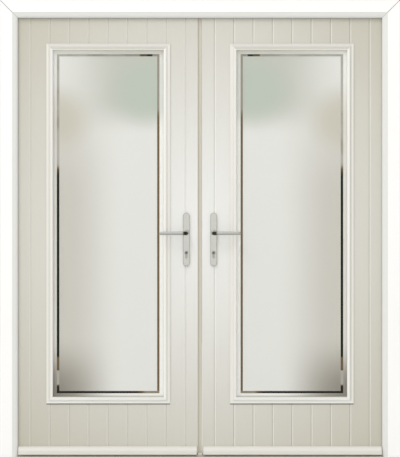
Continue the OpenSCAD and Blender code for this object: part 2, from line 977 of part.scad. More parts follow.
module inner_backplate() {
    top_y = -slab_y - plate_t;
    color("silver") inside_out() difference() {
        backplate_blank();
        backplate_holes();
        for (z = plate_zs) {
            rod_y(spindle_x, z, plate_screw_r + running, top_y - overrun, -slab_y + overrun);
            rod_y(spindle_x, z, plate_screw_head_r + running, top_y - overrun, top_y + plate_screw_head_h);
        }
    }
}

module plate_screws() {
    head_y = slab_y + plate_t - plate_screw_head_h;
    for (z = plate_zs) {
        rod_y(spindle_x, z, plate_screw_r, -slab_y - plate_boss_d, head_y);
        rod_y(spindle_x, z, plate_screw_head_r, head_y, slab_y + plate_t);
    }
}

// Hub on the backplate, turned about the spindle, with a small round on its front edge
module lever_hub() {
    back_y = -slab_y - plate_t - hub_gap;
    rod_y(spindle_x, spindle_z, neck_r, back_y - overrun, -slab_y - neck_start);
    translate([spindle_x, back_y, spindle_z]) rotate([90, 0, 0]) rotate_extrude() polygon(concat(
        [[0, 0], [hub_r, 0]],
        arc(hub_r - hub_round, hub_t - hub_round, hub_round, hub_round, 0, 90),
        [[0, hub_t]]
    ));
}

// Neck out of the hub, a quarter bend and a tapering grip with a round tip, a little below the spindle
module lever() {
    hub_y = -slab_y - plate_t - hub_gap - hub_t;
    bend_y = bend_r - slab_y - lever_reach;
    grip_y = -slab_y - lever_reach;
    grip_z = spindle_z - grip_drop;
    grip_x0 = spindle_x + bend_r;
    grip_x1 = spindle_x + lever_len - tip_r;
    color("silver") difference() {
        union() {
            lever_hub();
            rod_y(spindle_x, grip_z, lever_r, bend_y, hub_y + overrun);
            translate([grip_x0, bend_y, grip_z]) rotate([0, 0, 180])
                rotate_extrude(angle = 90) translate([bend_r, 0]) circle(lever_r);
            translate([grip_x0, grip_y, grip_z]) rotate([0, 90, 0])
                cylinder(r1 = lever_r, r2 = tip_r, h = grip_x1 - grip_x0);
            translate([grip_x1, grip_y, grip_z]) sphere(tip_r);
        }
        spindle_bar(glue, socket_half);
    }
}

module outer_lever() {
    lever();
}

module inner_lever() {
    inside_out() lever();
}

module spindle_bar(room, half) {
    s = spindle_s / 2 + room;
    block([spindle_x - s, -half, spindle_z - s], [spindle_x + s, half, spindle_z + s]);
}

module spindle() {
    color("silver") spindle_bar(0, spindle_half);
}

module cylinder_housing() {
    cam_half = cam_w / 2 + slide;
    color("silver") difference() {
        slice_y(-cylinder_half, cylinder_half) cylinder_outline(0);
        rod_y(spindle_x, cylinder_z, plug_r + running, -cylinder_half - overrun, cylinder_half + overrun);
        block(
            [spindle_x - cylinder_h, -cam_half, cylinder_z - lobe_reach - cam_room],
            [spindle_x + cylinder_h, cam_half, cylinder_z + cylinder_h]
        );
    }
}

// The plug turns in the housing and carries the cam between the housing's two halves
module cylinder_plug() {
    color("gray") difference() {
        union() {
            rod_y(spindle_x, cylinder_z, plug_r, -cylinder_half, cylinder_half);
            rod_y(spindle_x, cylinder_z, cam_r, -cam_w / 2, cam_w / 2);
            block(
                [spindle_x - lobe_w / 2, -cam_w / 2, cylinder_z - lobe_reach],
                [spindle_x + lobe_w / 2, cam_w / 2, cylinder_z]
            );
        }
        for (end = [0, 1]) {
            mirror([0, end, 0]) block(
                [spindle_x - key_w / 2, -cylinder_half - overrun, cylinder_z - key_h / 2],
                [spindle_x + key_w / 2, key_depth - cylinder_half, cylinder_z + key_h / 2]
            );
        }
    }
}

// Lock

// Faceplate, gearbox and hook boxes as plain blocks, grown by room
module lock_outline(room) {
    grow = [room, room, room];
    block(
        [leaf_x0 - room, -face_w / 2 - room, leaf_z0 + face_end - room],
        [leaf_x0 + face_t + room, face_w / 2 + room, leaf_z1 - face_end + room]
    );
    block(
        [leaf_x0, -case_t / 2, spindle_z - case_down] - grow,
        [case_x1, case_t / 2, spindle_z + case_up] + grow
    );
    for (z = hook_zs) {
        block(
            [leaf_x0, -case_t / 2, z - hook_slot_down - case_wall] - grow,
            [hook_slot_x1 + case_wall, case_t / 2, z + hook_slot_up + case_wall] + grow
        );
    }
}

// Slot that a bolt of height h slides in, centred on z
module bolt_slot(z, h, length) {
    block(
        [leaf_x0 - overrun, -bolt_t / 2 - slide, z - h / 2 - slide],
        [leaf_x0 + length + overrun, bolt_t / 2 + slide, z + h / 2 + slide]
    );
}

// bolted is true for the lock with a latch, a deadbolt and hooks of its own
module lock_body(bolted) {
    color("lightgray") difference() {
        lock_outline(0);
        rod_y(spindle_x, spindle_z, spindle_bore_r, -case_t, case_t);
        slice_y(-case_t, case_t) cylinder_outline(slide);
        rod_y(spindle_x, cylinder_z, lobe_reach + cam_room, -cam_w / 2 - slide, cam_w / 2 + slide);
        if (bolted) {
            bolt_slot(latch_z, latch_h, latch_len);
            bolt_slot(deadbolt_z, deadbolt_h, deadbolt_len);
            for (z = hook_zs) {
                difference() {
                    block(
                        [leaf_x0 - overrun, -hook_t / 2 - slide, z - hook_slot_down],
                        [hook_slot_x1, hook_t / 2 + slide, z + hook_slot_up]
                    );
                    rod_y(hook_x, z, hook_pin_r, -hook_t, hook_t);
                }
            }
        }
    }
}

module latch() {
    color("silver") translate([leaf_x0 + bolt_set_back, 0, latch_z - latch_h / 2]) linear_extrude(latch_h)
        polygon([
            [0, bolt_t / 2],
            [0, bolt_t / 2 - bolt_t * latch_tip_share],
            [latch_nose, -bolt_t / 2],
            [latch_len, -bolt_t / 2],
            [latch_len, bolt_t / 2]
        ]);
}

module deadbolt() {
    color("silver") block(
        [leaf_x0 + bolt_set_back, -bolt_t / 2, deadbolt_z - deadbolt_h / 2],
        [leaf_x0 + deadbolt_len, bolt_t / 2, deadbolt_z + deadbolt_h / 2]
    );
}

// A hook at rest: its arm points up, its beak points away from the meeting edge
module hook(z) {
    color("silver") difference() {
        union() {
            rod_y(hook_x, z, hook_root_r, -hook_t / 2, hook_t / 2);
            block(
                [hook_x - hook_arm_w / 2, -hook_t / 2, z],
                [hook_x + hook_arm_w / 2, hook_t / 2, z + hook_arm]
            );
            block(
                [hook_x, -hook_t / 2, z + hook_arm - hook_beak_h],
                [hook_x + hook_arm_w / 2 + hook_beak, hook_t / 2, z + hook_arm]
            );
        }
        rod_y(hook_x, z, hook_pin_r + running, -hook_t, hook_t);
    }
}

// Meeting mullion, keeps and shootbolts on the left leaf, drawn where they are

module keep_slot_cuts() {
    half = bolt_t / 2 + keep_room;
    for (s = keep_slots) {
        block([mullion_x1 - mullion_wall - overrun, -half, s[0]], [mullion_x1 + overrun, half, s[1]]);
    }
}

// Plates let into the mullion, with room around each slot
module keep_plates(room) {
    for (s = keep_slots) {
        block(
            [mullion_x1 - keep_t - room, -keep_w / 2 - room, s[0] - keep_edge - room],
            [mullion_x1, keep_w / 2 + room, s[1] + keep_edge + room]
        );
    }
}

module lock_keeps() {
    color("silver") difference() {
        keep_plates(0);
        keep_slot_cuts();
    }
}

module mullion_seal_strip(room, lip) {
    block(
        [mullion_x1 - mullion_seal_d, mullion_seal_y - mullion_seal_w / 2 - room, leaf_z0],
        [mullion_x1 + lip, mullion_seal_y + mullion_seal_w / 2 + room, leaf_z1]
    );
}

module meeting_mullion() {
    color([0.77, 0.75, 0.7]) difference() {
        union() {
            block([-leaf_x0, mullion_y0, leaf_z0], [mullion_x1, slab_y + cover_t, leaf_z1]);
            block([-leaf_x0 - cover_w, slab_y, leaf_z0], [mullion_x1, slab_y + cover_t, leaf_z1]);
            block(
                [-leaf_x0, mullion_y0, leaf_z0],
                [mullion_x1 + mullion_lip, mullion_y0 + mullion_lip_t, leaf_z1]
            );
        }
        block(
            [mullion_wall - leaf_x0, mullion_y0 + mullion_lip_t, leaf_z0 - overrun],
            [mullion_x1 - mullion_wall, slab_y, leaf_z1 + overrun]
        );
        keep_slot_cuts();
        translate([overrun, 0, 0]) keep_plates(glue);
        keep_plates(glue);
        translate([0, 0, -overrun]) mullion_seal_strip(glue, overrun);
        translate([0, 0, overrun]) mullion_seal_strip(glue, overrun);
    }
}

module mullion_seal() {
    color("dimgray") mullion_seal_strip(0, mullion_seal_lip);
}

module shootbolt_bore(z0, z1) {
    rod_z(shootbolt_x, 0, shootbolt_r + running, z0, z1);
}

module bottom_shootbolt() {
    z0 = leaf_z0 + shootbolt_set_back;
    color("silver") rod_z(-shootbolt_x, 0, shootbolt_r, z0, z0 + shootbolt_len);
}

module top_shootbolt() {
    z1 = leaf_z1 - shootbolt_set_back;
    color("silver") rod_z(-shootbolt_x, 0, shootbolt_r, z1 - shootbolt_len, z1);
}

module leaf_screws() {
    color("lightgray") {
        cassette_screws();
        plate_screws();
        hinge_screws(leaf_screw_x, slab_y);
    }
}

frame_head();
on_left() jamb();  // left_jamb
jamb();  // right_jamb
threshold();
frame_reinforcement();
frame_seal();
frame_hinge_leaves();
hinge_pins();
frame_screws();

on_left() outer_skin();  // left_outer_skin
on_left() inner_skin();  // left_inner_skin
on_left() foam_core();  // left_foam_core
on_left() subframe(true);  // left_subframe
on_left() outer_cassette();  // left_outer_cassette
on_left() inner_cassette();  // left_inner_cassette
on_left() outer_pane();  // left_outer_pane
on_left() inner_pane();  // left_inner_pane
on_left() spacer_bar();  // left_spacer_bar
on_left() rain_deflector();  // left_rain_deflector
on_left() bottom_seal();  // left_bottom_seal
on_left() hinge_leaves();  // left_hinge_leaves
on_left() lock_body(false);  // left_lock_body
on_left() outer_backplate();  // left_outer_backplate
on_left() inner_backplate();  // left_inner_backplate
on_left() outer_lever();  // left_outer_lever
on_left() inner_lever();  // left_inner_lever
on_left() spindle();  // left_spindle
on_left() cylinder_housing();  // left_cylinder
on_left() cylinder_plug();  // left_cylinder_plug
on_left() leaf_screws();  // left_screws
meeting_mullion();
mullion_seal();
lock_keeps();
top_shootbolt();
bottom_shootbolt();

outer_skin();  // right_outer_skin
inner_skin();  // right_inner_skin
foam_core();  // right_foam_core
subframe(false);  // right_subframe
outer_cassette();  // right_outer_cassette
inner_cassette();  // right_inner_cassette
outer_pane();  // right_outer_pane
inner_pane();  // right_inner_pane
spacer_bar();  // right_spacer_bar
rain_deflector();  // right_rain_deflector
bottom_seal();  // right_bottom_seal
hinge_leaves();  // right_hinge_leaves
lock_body(true);  // right_lock_body
outer_backplate();  // right_outer_backplate
inner_backplate();  // right_inner_backplate
outer_lever();  // right_outer_lever
inner_lever();  // right_inner_lever
spindle();  // right_spindle
cylinder_housing();  // right_cylinder
cylinder_plug();  // right_cylinder_plug
leaf_screws();  // right_screws
latch();
deadbolt();
hook(hook_zs[1]);  // upper_hook
hook(hook_zs[0]);  // lower_hook
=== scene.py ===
# %% [markdown]
# # A pair of french doors
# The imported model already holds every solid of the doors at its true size: frame, leaves, glass,
# handles, hinges and lock. This lesson dresses it. It sets up a camera and a plain studio, mixes a
# procedural finish for each material, softens the hard edges of the solids, and models what is too
# fine for them. The solids are loaded first, because every later piece is placed by them.

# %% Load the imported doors
import math

import bpy
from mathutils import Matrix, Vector


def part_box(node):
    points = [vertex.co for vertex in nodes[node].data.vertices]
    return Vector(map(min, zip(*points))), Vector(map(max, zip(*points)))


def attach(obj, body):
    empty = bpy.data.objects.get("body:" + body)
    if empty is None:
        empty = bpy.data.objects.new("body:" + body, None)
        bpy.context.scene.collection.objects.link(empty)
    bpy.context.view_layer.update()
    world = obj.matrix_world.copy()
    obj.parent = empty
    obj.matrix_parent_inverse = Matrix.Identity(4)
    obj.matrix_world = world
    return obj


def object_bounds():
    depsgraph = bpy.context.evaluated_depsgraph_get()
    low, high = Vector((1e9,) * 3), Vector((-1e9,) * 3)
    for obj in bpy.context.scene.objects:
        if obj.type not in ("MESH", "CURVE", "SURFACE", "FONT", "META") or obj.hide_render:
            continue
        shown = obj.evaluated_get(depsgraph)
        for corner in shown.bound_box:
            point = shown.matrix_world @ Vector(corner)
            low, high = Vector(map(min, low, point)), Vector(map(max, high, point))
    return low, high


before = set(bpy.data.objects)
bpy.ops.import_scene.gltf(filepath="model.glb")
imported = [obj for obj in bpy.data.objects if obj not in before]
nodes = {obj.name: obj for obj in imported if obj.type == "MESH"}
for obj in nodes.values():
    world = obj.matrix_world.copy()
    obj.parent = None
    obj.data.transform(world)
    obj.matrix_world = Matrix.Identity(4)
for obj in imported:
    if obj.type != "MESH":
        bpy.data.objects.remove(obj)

MM = 0.001
cad_low, cad_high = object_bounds()
print("solids:", len(nodes), "size in mm:", [round(x / MM) for x in cad_high - cad_low])

# %% [markdown]
# ## Camera
# The picture is a flat elevation with no vanishing lines, 457 pixels high at 4.5 mm a pixel. An
# orthographic camera would give that, but the other views refit only a perspective one. A very long
# lens from far away is as good: at 20 m the depth of the doors shifts nothing by more than a pixel.

# %% Set up a far camera with a long lens
pixel = 4.5 * MM
picture_rows = 457
picture_h = picture_rows * pixel
picture_bottom = 3.5 * MM
camera_back = 20.0
face_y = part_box("left_jamb")[0].y

bpy.ops.object.select_all(action="DESELECT")
bpy.ops.object.camera_add(
    location=(0, face_y - camera_back, picture_bottom + picture_h / 2),
    rotation=(math.radians(90), 0, 0),
)
camera = bpy.context.object
camera.name = "elevation_camera"
camera.data.sensor_width = 36
camera.data.lens = camera.data.sensor_width * camera_back / picture_h
camera.data.clip_end = 10 * camera_back
bpy.context.scene.camera = camera
print("lens in mm:", round(camera.data.lens))

# %% [markdown]
# ## Node helpers
# The sky and every finish below are small trees of nodes. A few helpers keep the trees short: one adds
# a node and sets or wires its inputs, one starts a finish, and one starts a shared effect, which is a
# node group that several finishes use with their own values. Patterns read Object coordinates, which
# are metres here, so a grain or a speck keeps its true size.

# %% Helpers that add nodes
finishes = {}


def wire(tree, node, socket, value):
    """Gives an input a constant, or another node's output as (node, name)"""
    if isinstance(value, tuple) and isinstance(value[0], bpy.types.Node):
        tree.links.new(value[0].outputs[value[1]], node.inputs[socket])
    else:
        node.inputs[socket].default_value = value


def add(tree, kind, inputs=None, **settings):
    """A new node with its settings and its inputs"""
    node = tree.nodes.new("ShaderNode" + kind)
    for name, value in settings.items():
        setattr(node, name, value)
    for socket, value in (inputs or {}).items():
        wire(tree, node, socket, value)
    return node


def new_finish(name):
    """Starts a finish, keeps it under its name and returns its tree and its shader"""
    material = bpy.data.materials.new("finish_" + name)
    material.use_nodes = True
    finishes[name] = material
    return material.node_tree, material.node_tree.nodes["Principled BSDF"]


def new_effect(name, inputs, outputs):
    """Starts a shared effect: the group, its input node and its output node"""
    group = bpy.data.node_groups.new(name, "ShaderNodeTree")
    for label, kind, value in inputs:
        socket = group.interface.new_socket(label, in_out="INPUT", socket_type="NodeSocket" + kind)
        socket.default_value = value
    for label, kind in outputs:
        group.interface.new_socket(label, in_out="OUTPUT", socket_type="NodeSocket" + kind)
    return group, group.nodes.new("NodeGroupInput"), group.nodes.new("NodeGroupOutput")


def use_effect(tree, group, inputs):
    """A shared effect placed in a tree, with its own values"""
    node = tree.nodes.new("ShaderNodeGroup")
    node.node_tree = group
    for socket, value in inputs.items():
        wire(tree, node, socket, value)
    return node


print("helpers for nodes, groups and finishes ready")

# %% [markdown]
# ## Mask helpers
# Dirt, wear, film and painted light and shade lie in certain places, so most finishes need masks:
# numbers from nothing to one that depend on place. They could be painted as pictures, but worked out
# from coordinates they need no file and stay sharp. These helpers return (node, output) pairs, which
# wire() takes as they are.

# %% Helpers that make masks and mix colours
def maths(tree, operation, *values, clamp=False):
    """One sum, product or other operation on values"""
    node = add(tree, "Math", dict(enumerate(values)), operation=operation, use_clamp=clamp)
    return node, "Value"


def times(tree, *shares):
    """The product of masks and shares"""
    product = shares[0]
    for share in shares[1:]:
        product = maths(tree, "MULTIPLY", product, share)
    return product


def ramp(tree, value, zero, full, high=1.0, low=0.0, interpolation="LINEAR"):
    """A straight step of a value: low at zero, high at full"""
    node = add(tree, "MapRange", {
        "Value": value, "From Min": zero, "From Max": full, "To Min": low, "To Max": high},
        interpolation_type=interpolation)
    return node, "Result"


def fade(tree, value, zero, full, high=1.0, low=0.0):
    """A smooth step of a value: low at zero, high at full"""
    return ramp(tree, value, zero, full, high, low, "SMOOTHSTEP")


def window(tree, value, middle, half, soft):
    """One where a value lies within half of the middle, fading out over soft on both sides"""
    away = maths(tree, "ABSOLUTE", maths(tree, "SUBTRACT", value, middle))
    return fade(tree, away, half + soft, half - soft)


def mix(tree, share, first, second):
    """A colour that goes from first to second as the share grows"""
    node = add(tree, "MixRGB", {"Fac": share, "Color1": first, "Color2": second})
    return node, "Color"


def rest_of(tree, share):
    """What is left of one beside a share"""
    return maths(tree, "SUBTRACT", 1.0, share)


def blend(tree, share, first, second):
    """A value that goes from first to second as the share grows"""
    return maths(tree, "ADD", times(tree, rest_of(tree, share), first), times(tree, share, second))


def tones(tree, value, stops):
    """Colours along a value, from (position, colour) stops in rising order"""
    node = add(tree, "ValToRGB", {"Fac": value})
    elements = node.color_ramp.elements
    while len(elements) < len(stops):
        elements.new(1.0)
    for element, (position, colour) in zip(elements, stops):
        element.position = position
        element.color = colour
    return node, "Color"


def place_in_doors(tree):
    """Distance from the middle of the doors along X, depth and height of a point of the surface"""
    coords = add(tree, "TexCoord")
    split = add(tree, "SeparateXYZ", {"Vector": (coords, "Object")})
    return maths(tree, "ABSOLUTE", (split, "X")), (split, "Y"), (split, "Z")


print("helpers for masks and colours ready")

# %% [markdown]
# ## Floor
# The doors stand on one wide pale plane. A backdrop that curves up behind them would hide the horizon,
# but they are looked at from all sides, so a plain floor is better.

# %% Lay the floor
floor_size = 40

bpy.ops.object.select_all(action="DESELECT")
bpy.ops.mesh.primitive_plane_add(size=floor_size, location=(0, 0, cad_low.z))
floor = bpy.context.object
floor.name = "studio_floor"
print("floor in m:", floor_size)

# %% [markdown]
# ## Sky
# Outside, the doors stand under an even sky, with a little shade under the head and beside the left
# jamb. A picture of a sky could light them, but a few fades over the direction do it without a file:
# the sky is brighter in front, above and to the left than behind. The standard view keeps whites white.

# %% Light the sky
scene = bpy.context.scene
scene.view_settings.view_transform = "Standard"
sky_base = 0.03
sky_sides = {
    "front": ("Y", -0.45, -1.0, 0.99),
    "behind": ("Y", 0.0, 1.0, 0.43),
    "above": ("Z", -0.2, 0.9, 0.88),
    "left": ("X", 0.0, -1.0, 0.36),
}
scene.world = bpy.data.worlds.new("soft_sky")
scene.world.use_nodes = True
tree = scene.world.node_tree
background = tree.nodes["Background"]
direction = add(tree, "TexCoord")
split = add(tree, "SeparateXYZ", {"Vector": (direction, "Generated")})
sky_light = sky_base
for axis, dark_at, bright_at, strength in sky_sides.values():
    sky_light = maths(tree, "ADD", sky_light, fade(tree, (split, axis), dark_at, bright_at, strength))
wire(tree, background, "Color", (1.0, 0.99, 0.97, 1))
wire(tree, background, "Strength", sky_light)
print("sky brighter towards:", list(sky_sides))

# %% [markdown]
# ## Lamps
# The sky alone gives no direction to the shade. One wide lamp above to the left draws the soft shade of
# the head and of the mouldings, and a weaker one behind lights the inner side. Both are large, because
# a small lamp would throw hard shadows.

# %% Hang two soft lamps
def soft_lamp(name, place, aim, size, power):
    """A square lamp at place that faces aim and stays out of the picture"""
    bpy.ops.object.select_all(action="DESELECT")
    bpy.ops.object.light_add(type="AREA", location=place)
    lamp = bpy.context.object
    lamp.name = name
    lamp.data.size = size
    lamp.data.energy = power
    lamp.rotation_euler = (Vector(aim) - Vector(place)).to_track_quat("-Z", "Y").to_euler()
    lamp.visible_camera = False


soft_lamp("sky_above", place=(-3.6, -4.8, 8.2), aim=(0, 0, 1.1), size=3.0, power=190)
soft_lamp("sky_behind", place=(2.0, 5.0, 4.0), aim=(0, 0, 1.0), size=3.0, power=80)

# %% [markdown]
# ## Effect: weathered surface
# No outdoor surface is one flat colour. Large patches differ a little in tone, the gloss changes from
# speck to speck, and corners and ledges are greyed: partly with grime, partly with painted shade. One
# group does all of it: a noise for the patches, a finer one for the gloss, ambient occlusion to find
# the corners, and the upward part of the normal to find the ledges. The grey mixed in there is grime
# and painted shade together.

# %% The weathered surface group
noise_mean = 0.5
ledge_from, ledge_full = 0.15, 0.75

weathered, w_in, w_out = new_effect(
    "weathered_surface",
    [
        ("Colour", "Color", (0.8, 0.8, 0.8, 1)),
        ("Tone spread", "Float", 0.03),
        ("Patch scale", "Float", 3.0),
        ("Roughness", "Float", 0.4),
        ("Rough spread", "Float", 0.08),
        ("Fine scale", "Float", 60.0),
        ("Dust colour", "Color", (0.4, 0.38, 0.34, 1)),
        ("Dust", "Float", 0.3),
        ("Dust reach", "Float", 20 * MM),
        ("Ledge dust", "Float", 0.0),
    ],
    [("Colour", "Color"), ("Roughness", "Float")],
)
w_coords = add(weathered, "TexCoord")
w_patch = add(weathered, "TexNoise", {
    "Vector": (w_coords, "Object"), "Scale": (w_in, "Patch scale"), "Detail": 3.0})
w_fine = add(weathered, "TexNoise", {
    "Vector": (w_coords, "Object"), "Scale": (w_in, "Fine scale"), "Detail": 5.0})
w_lean = maths(weathered, "SUBTRACT", (w_patch, "Fac"), noise_mean)
w_tone = maths(weathered, "MULTIPLY_ADD", w_lean, (w_in, "Tone spread"), 1.0)
w_toned = add(weathered, "HueSaturation", {"Value": w_tone, "Color": (w_in, "Colour")})

# Painted shade with grime: one minus the ambient occlusion darkens corners and recesses.
w_open = add(weathered, "AmbientOcclusion", {"Distance": (w_in, "Dust reach")}, samples=8)
w_shut = maths(weathered, "SUBTRACT", 1.0, (w_open, "AO"))
w_speck = times(weathered, w_shut, (w_fine, "Fac"))
w_facing = add(weathered, "SeparateXYZ", {"Vector": (w_coords, "Normal")})
w_ledge = ramp(weathered, (w_facing, "Z"), ledge_from, ledge_full, (w_in, "Ledge dust"))
w_shade_and_grime = maths(weathered, "MULTIPLY_ADD", w_speck, (w_in, "Dust"), w_ledge, clamp=True)
w_mixed = mix(weathered, w_shade_and_grime, (w_toned, "Color"), (w_in, "Dust colour"))

w_matt = maths(weathered, "SUBTRACT", (w_fine, "Fac"), noise_mean)
w_rough = maths(
    weathered, "MULTIPLY_ADD", w_matt, (w_in, "Rough spread"), (w_in, "Roughness"), clamp=True)
wire(weathered, w_out, "Colour", w_mixed)
wire(weathered, w_out, "Roughness", w_rough)
print("effect:", weathered.name, len(weathered.nodes), "nodes")

# %% [markdown]
# ## Effect: wood grain
# The leaf skins are moulded from real boards, so they carry a shallow grain that runs upright, and the
# timber inside has the same figure in colour. A stretched noise makes the long streaks, its peaks make
# short pores, and a bent wave makes the slow arches of a sawn board.

# %% The wood grain group
pore_from, pore_full = 0.56, 0.68
arch_share = 0.45

grain, g_in, g_out = new_effect(
    "wood_grain",
    [("Streaks", "Float", 120.0), ("Length", "Float", 0.03), ("Arches", "Float", 9.0)],
    [("Height", "Float"), ("Pores", "Float")],
)
g_coords = add(grain, "TexCoord")
g_stretch = add(grain, "CombineXYZ", {"X": 1.0, "Y": 1.0, "Z": (g_in, "Length")})
g_long = add(grain, "VectorMath", {0: (g_coords, "Object"), 1: (g_stretch, "Vector")},
             operation="MULTIPLY")
g_streak = add(grain, "TexNoise", {
    "Vector": (g_long, "Vector"), "Scale": (g_in, "Streaks"), "Detail": 6.0, "Roughness": 0.65})
g_wave = add(grain, "TexWave", {
    "Vector": (g_long, "Vector"), "Scale": (g_in, "Arches"), "Distortion": 14.0, "Detail": 2.0,
    "Detail Scale": 1.6}, wave_type="BANDS", bands_direction="X")
g_pore = ramp(grain, (g_streak, "Fac"), pore_from, pore_full)
g_sum = maths(grain, "ADD", times(grain, (g_wave, "Fac"), arch_share), (g_streak, "Fac"))
wire(grain, g_out, "Height", maths(grain, "SUBTRACT", g_sum, g_pore))
wire(grain, g_out, "Pores", g_pore)
print("effect:", grain.name, len(grain.nodes), "nodes")

# %% [markdown]
# ## Effect: brushed lines
# Drawn and brushed metal shows fine parallel lines. A noise that is squeezed across the lines and
# stretched along them gives that; the Stretch input says how much finer each axis is.

# %% The brushed lines group
brushed, b_in, b_out = new_effect(
    "brushed_lines",
    [("Stretch", "Vector", (1.0, 1.0, 1.0)), ("Roughness", "Float", 0.25), ("Spread", "Float", 0.2)],
    [("Lines", "Float"), ("Roughness", "Float")],
)
b_coords = add(brushed, "TexCoord")
b_long = add(brushed, "VectorMath", {0: (b_coords, "Object"), 1: (b_in, "Stretch")},
             operation="MULTIPLY")
b_line = add(brushed, "TexNoise", {
    "Vector": (b_long, "Vector"), "Scale": 1.0, "Detail": 4.0, "Roughness": 0.6})
b_lean = maths(brushed, "SUBTRACT", (b_line, "Fac"), noise_mean)
b_rough = maths(brushed, "MULTIPLY_ADD", b_lean, (b_in, "Spread"), (b_in, "Roughness"), clamp=True)
wire(brushed, b_out, "Lines", (b_line, "Fac"))
wire(brushed, b_out, "Roughness", b_rough)
print("effect:", brushed.name, len(brushed.nodes), "nodes")

# %% [markdown]
# ## Plastics: deflectors, meeting strip, spacers and seals
# The rain deflectors are extruded in white, and the meeting strip, the spacers and the seals are
# coloured right through. They differ in colour, gloss and in how fine the skin of the moulding is, so
# one function mixes them all, and the frame and the cassettes too. A faint bump gives that skin.

# %% Mix the plastics
# The share for corners and ledges greys them with grime and with painted shade.
def plastic(name, colour, roughness, skin_scale, skin_depth, dust=0.35, spread=0.035, ledge=0.0):
    """A moulded or extruded plastic: its tree, its shader and its weathered surface"""
    tree, shader = new_finish(name)
    worn = use_effect(tree, weathered, {
        "Colour": colour, "Tone spread": spread, "Patch scale": 2.5, "Roughness": roughness,
        "Rough spread": 0.04, "Fine scale": 45.0, "Dust": dust, "Ledge dust": ledge})
    coords = add(tree, "TexCoord")
    skin = add(tree, "TexNoise", {"Vector": (coords, "Object"), "Scale": skin_scale, "Detail": 2.0})
    bump = add(tree, "Bump", {"Height": (skin, "Fac"), "Strength": 0.35, "Distance": skin_depth})
    wire(tree, shader, "Base Color", (worn, "Colour"))
    wire(tree, shader, "Roughness", (worn, "Roughness"))
    wire(tree, shader, "Normal", (bump, "Normal"))
    return tree, shader, worn


plastic("deflector_white", (0.73, 0.72, 0.67, 1), roughness=0.34,
        skin_scale=1500.0, skin_depth=0.05 * MM, dust=0.25)
# The taupe of the meeting strip is darker than its cream would be: partly painted shade for the gap
# between the leaves.
plastic("mullion_taupe", (0.615, 0.595, 0.515, 1), roughness=0.42,
        skin_scale=800.0, skin_depth=0.05 * MM, dust=0.2)
plastic("spacer_grey", (0.34, 0.34, 0.34, 1), roughness=0.45,
        skin_scale=1200.0, skin_depth=0.08 * MM)
plastic("seal_grey", (0.035, 0.035, 0.037, 1), roughness=0.62,
        skin_scale=2500.0, skin_depth=0.10 * MM, dust=0.5, spread=0.3)
print("plastics:", sorted(finishes))

# %% [markdown]
# ## Frame white, with painted shade on the bead
# The flat face of the frame stays white, while the rounded bead behind it is greyed with painted shade.
# The shade is a mask on depth: nothing at the face, full a little behind it. The corners are welded on
# the mitre, and the groove left by the weld is dark with dirt: there the way across equals the way up.

# %% Mix the white of the frame
bead_shade_from = face_y + 0.5 * MM
bead_shade_full = face_y + 1.5 * MM
bead_shade_share = 0.75
weld_w = 4.2 * MM
weld_soft = 1 * MM
dirt_share_on_face = 0.58
dirt_share_on_bead = 0.25

tree, shader, clean = plastic(
    "frame_white", (0.95, 0.95, 0.945, 1), roughness=0.32, skin_scale=700.0, skin_depth=0.06 * MM)
from_middle, depth, height = place_in_doors(tree)
# Painted shade on the bead: the grey grows with depth behind the face.
bead_shade = ramp(tree, depth, bead_shade_from, bead_shade_full, bead_shade_share)
bead_shaded = mix(tree, bead_shade, (clean, "Colour"), (0.70, 0.705, 0.68, 1))
off_mitre = maths(tree, "SUBTRACT", from_middle, height)
weld_half = weld_w * math.sqrt(2) / 2
weld = window(tree, off_mitre, cad_high.x - cad_high.z, weld_half, weld_soft)
weld_dirt = fade(tree, bead_shade, 0.0, bead_shade_share, dirt_share_on_bead, dirt_share_on_face)
soiled = mix(tree, times(tree, weld, weld_dirt), bead_shaded, (0.20, 0.205, 0.18, 1))
wire(tree, shader, "Base Color", soiled)
print("film on the bead, from y in mm:", round(bead_shade_from / MM, 1))

# %% [markdown]
# ## Bars of the cassettes
# A glazing cassette is a ring of four moulded bars, mitred at the corners, and its tones run along the
# bars. The distance from the outer edge says where a point lies across a bar. The smallest of the
# distances to side, head and foot says which bar it is, so tones meet on the mitre as the bars do.

# %% Measure across the bars of the cassettes
cassette_tone = (0.78, 0.77, 0.72, 1)
mitre_soft = 1 * MM

# The ledge share greys the upward faces of the bars with grime and painted shade.
tree, _, moulded = plastic(
    "cassette_white", cassette_tone, roughness=0.26, skin_scale=900.0, skin_depth=0.04 * MM,
    dust=0.12, ledge=0.3)
from_middle, _, height = place_in_doors(tree)
cassette_low, cassette_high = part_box("right_outer_cassette")
cassette_mid = (cassette_low.x + cassette_high.x) / 2
cassette_half = (cassette_high.x - cassette_low.x) / 2
off_axis = maths(tree, "ABSOLUTE", maths(tree, "SUBTRACT", from_middle, cassette_mid))
to_side = maths(tree, "SUBTRACT", cassette_half, off_axis)
to_head = maths(tree, "SUBTRACT", cassette_high.z, height)
to_foot = maths(tree, "SUBTRACT", height, cassette_low.z)
on_head = fade(tree, maths(tree, "SUBTRACT", to_side, to_head), -mitre_soft, mitre_soft)
on_foot = fade(tree, maths(tree, "SUBTRACT", to_side, to_foot), -mitre_soft, mitre_soft)
across_bar = maths(tree, "MINIMUM", to_side, maths(tree, "MINIMUM", to_head, to_foot))
print("half a cassette in mm:", round(cassette_half / MM, 1))

# %% [markdown]
# ## Cassette white, with painted light and shade
# The bar at the head is greyed with painted shade, with a tan line of painted shade where its roll
# turns down, and painted shade also greys the cove of the outer stile. The rolls of the stiles and the
# sight edge of the head are lightened with painted light, and the foot bar is painted lighter on its
# flat than on its roll.

# %% Mix the white of the cassettes
bar_w = 30 * MM
roll_w = 9 * MM
roll_soft = 3 * MM
cove_at, cove_half, cove_soft = 12.5 * MM, 5 * MM, 2 * MM
tan_at, tan_half = 21 * MM, 3 * MM
sight_edge_in, sight_edge_half = 3 * MM, 3.5 * MM
line_soft = 1 * MM
side_soft = 100 * MM
roll_light_share, cove_shade_share, tan_share = 0.7, 0.4, 0.5

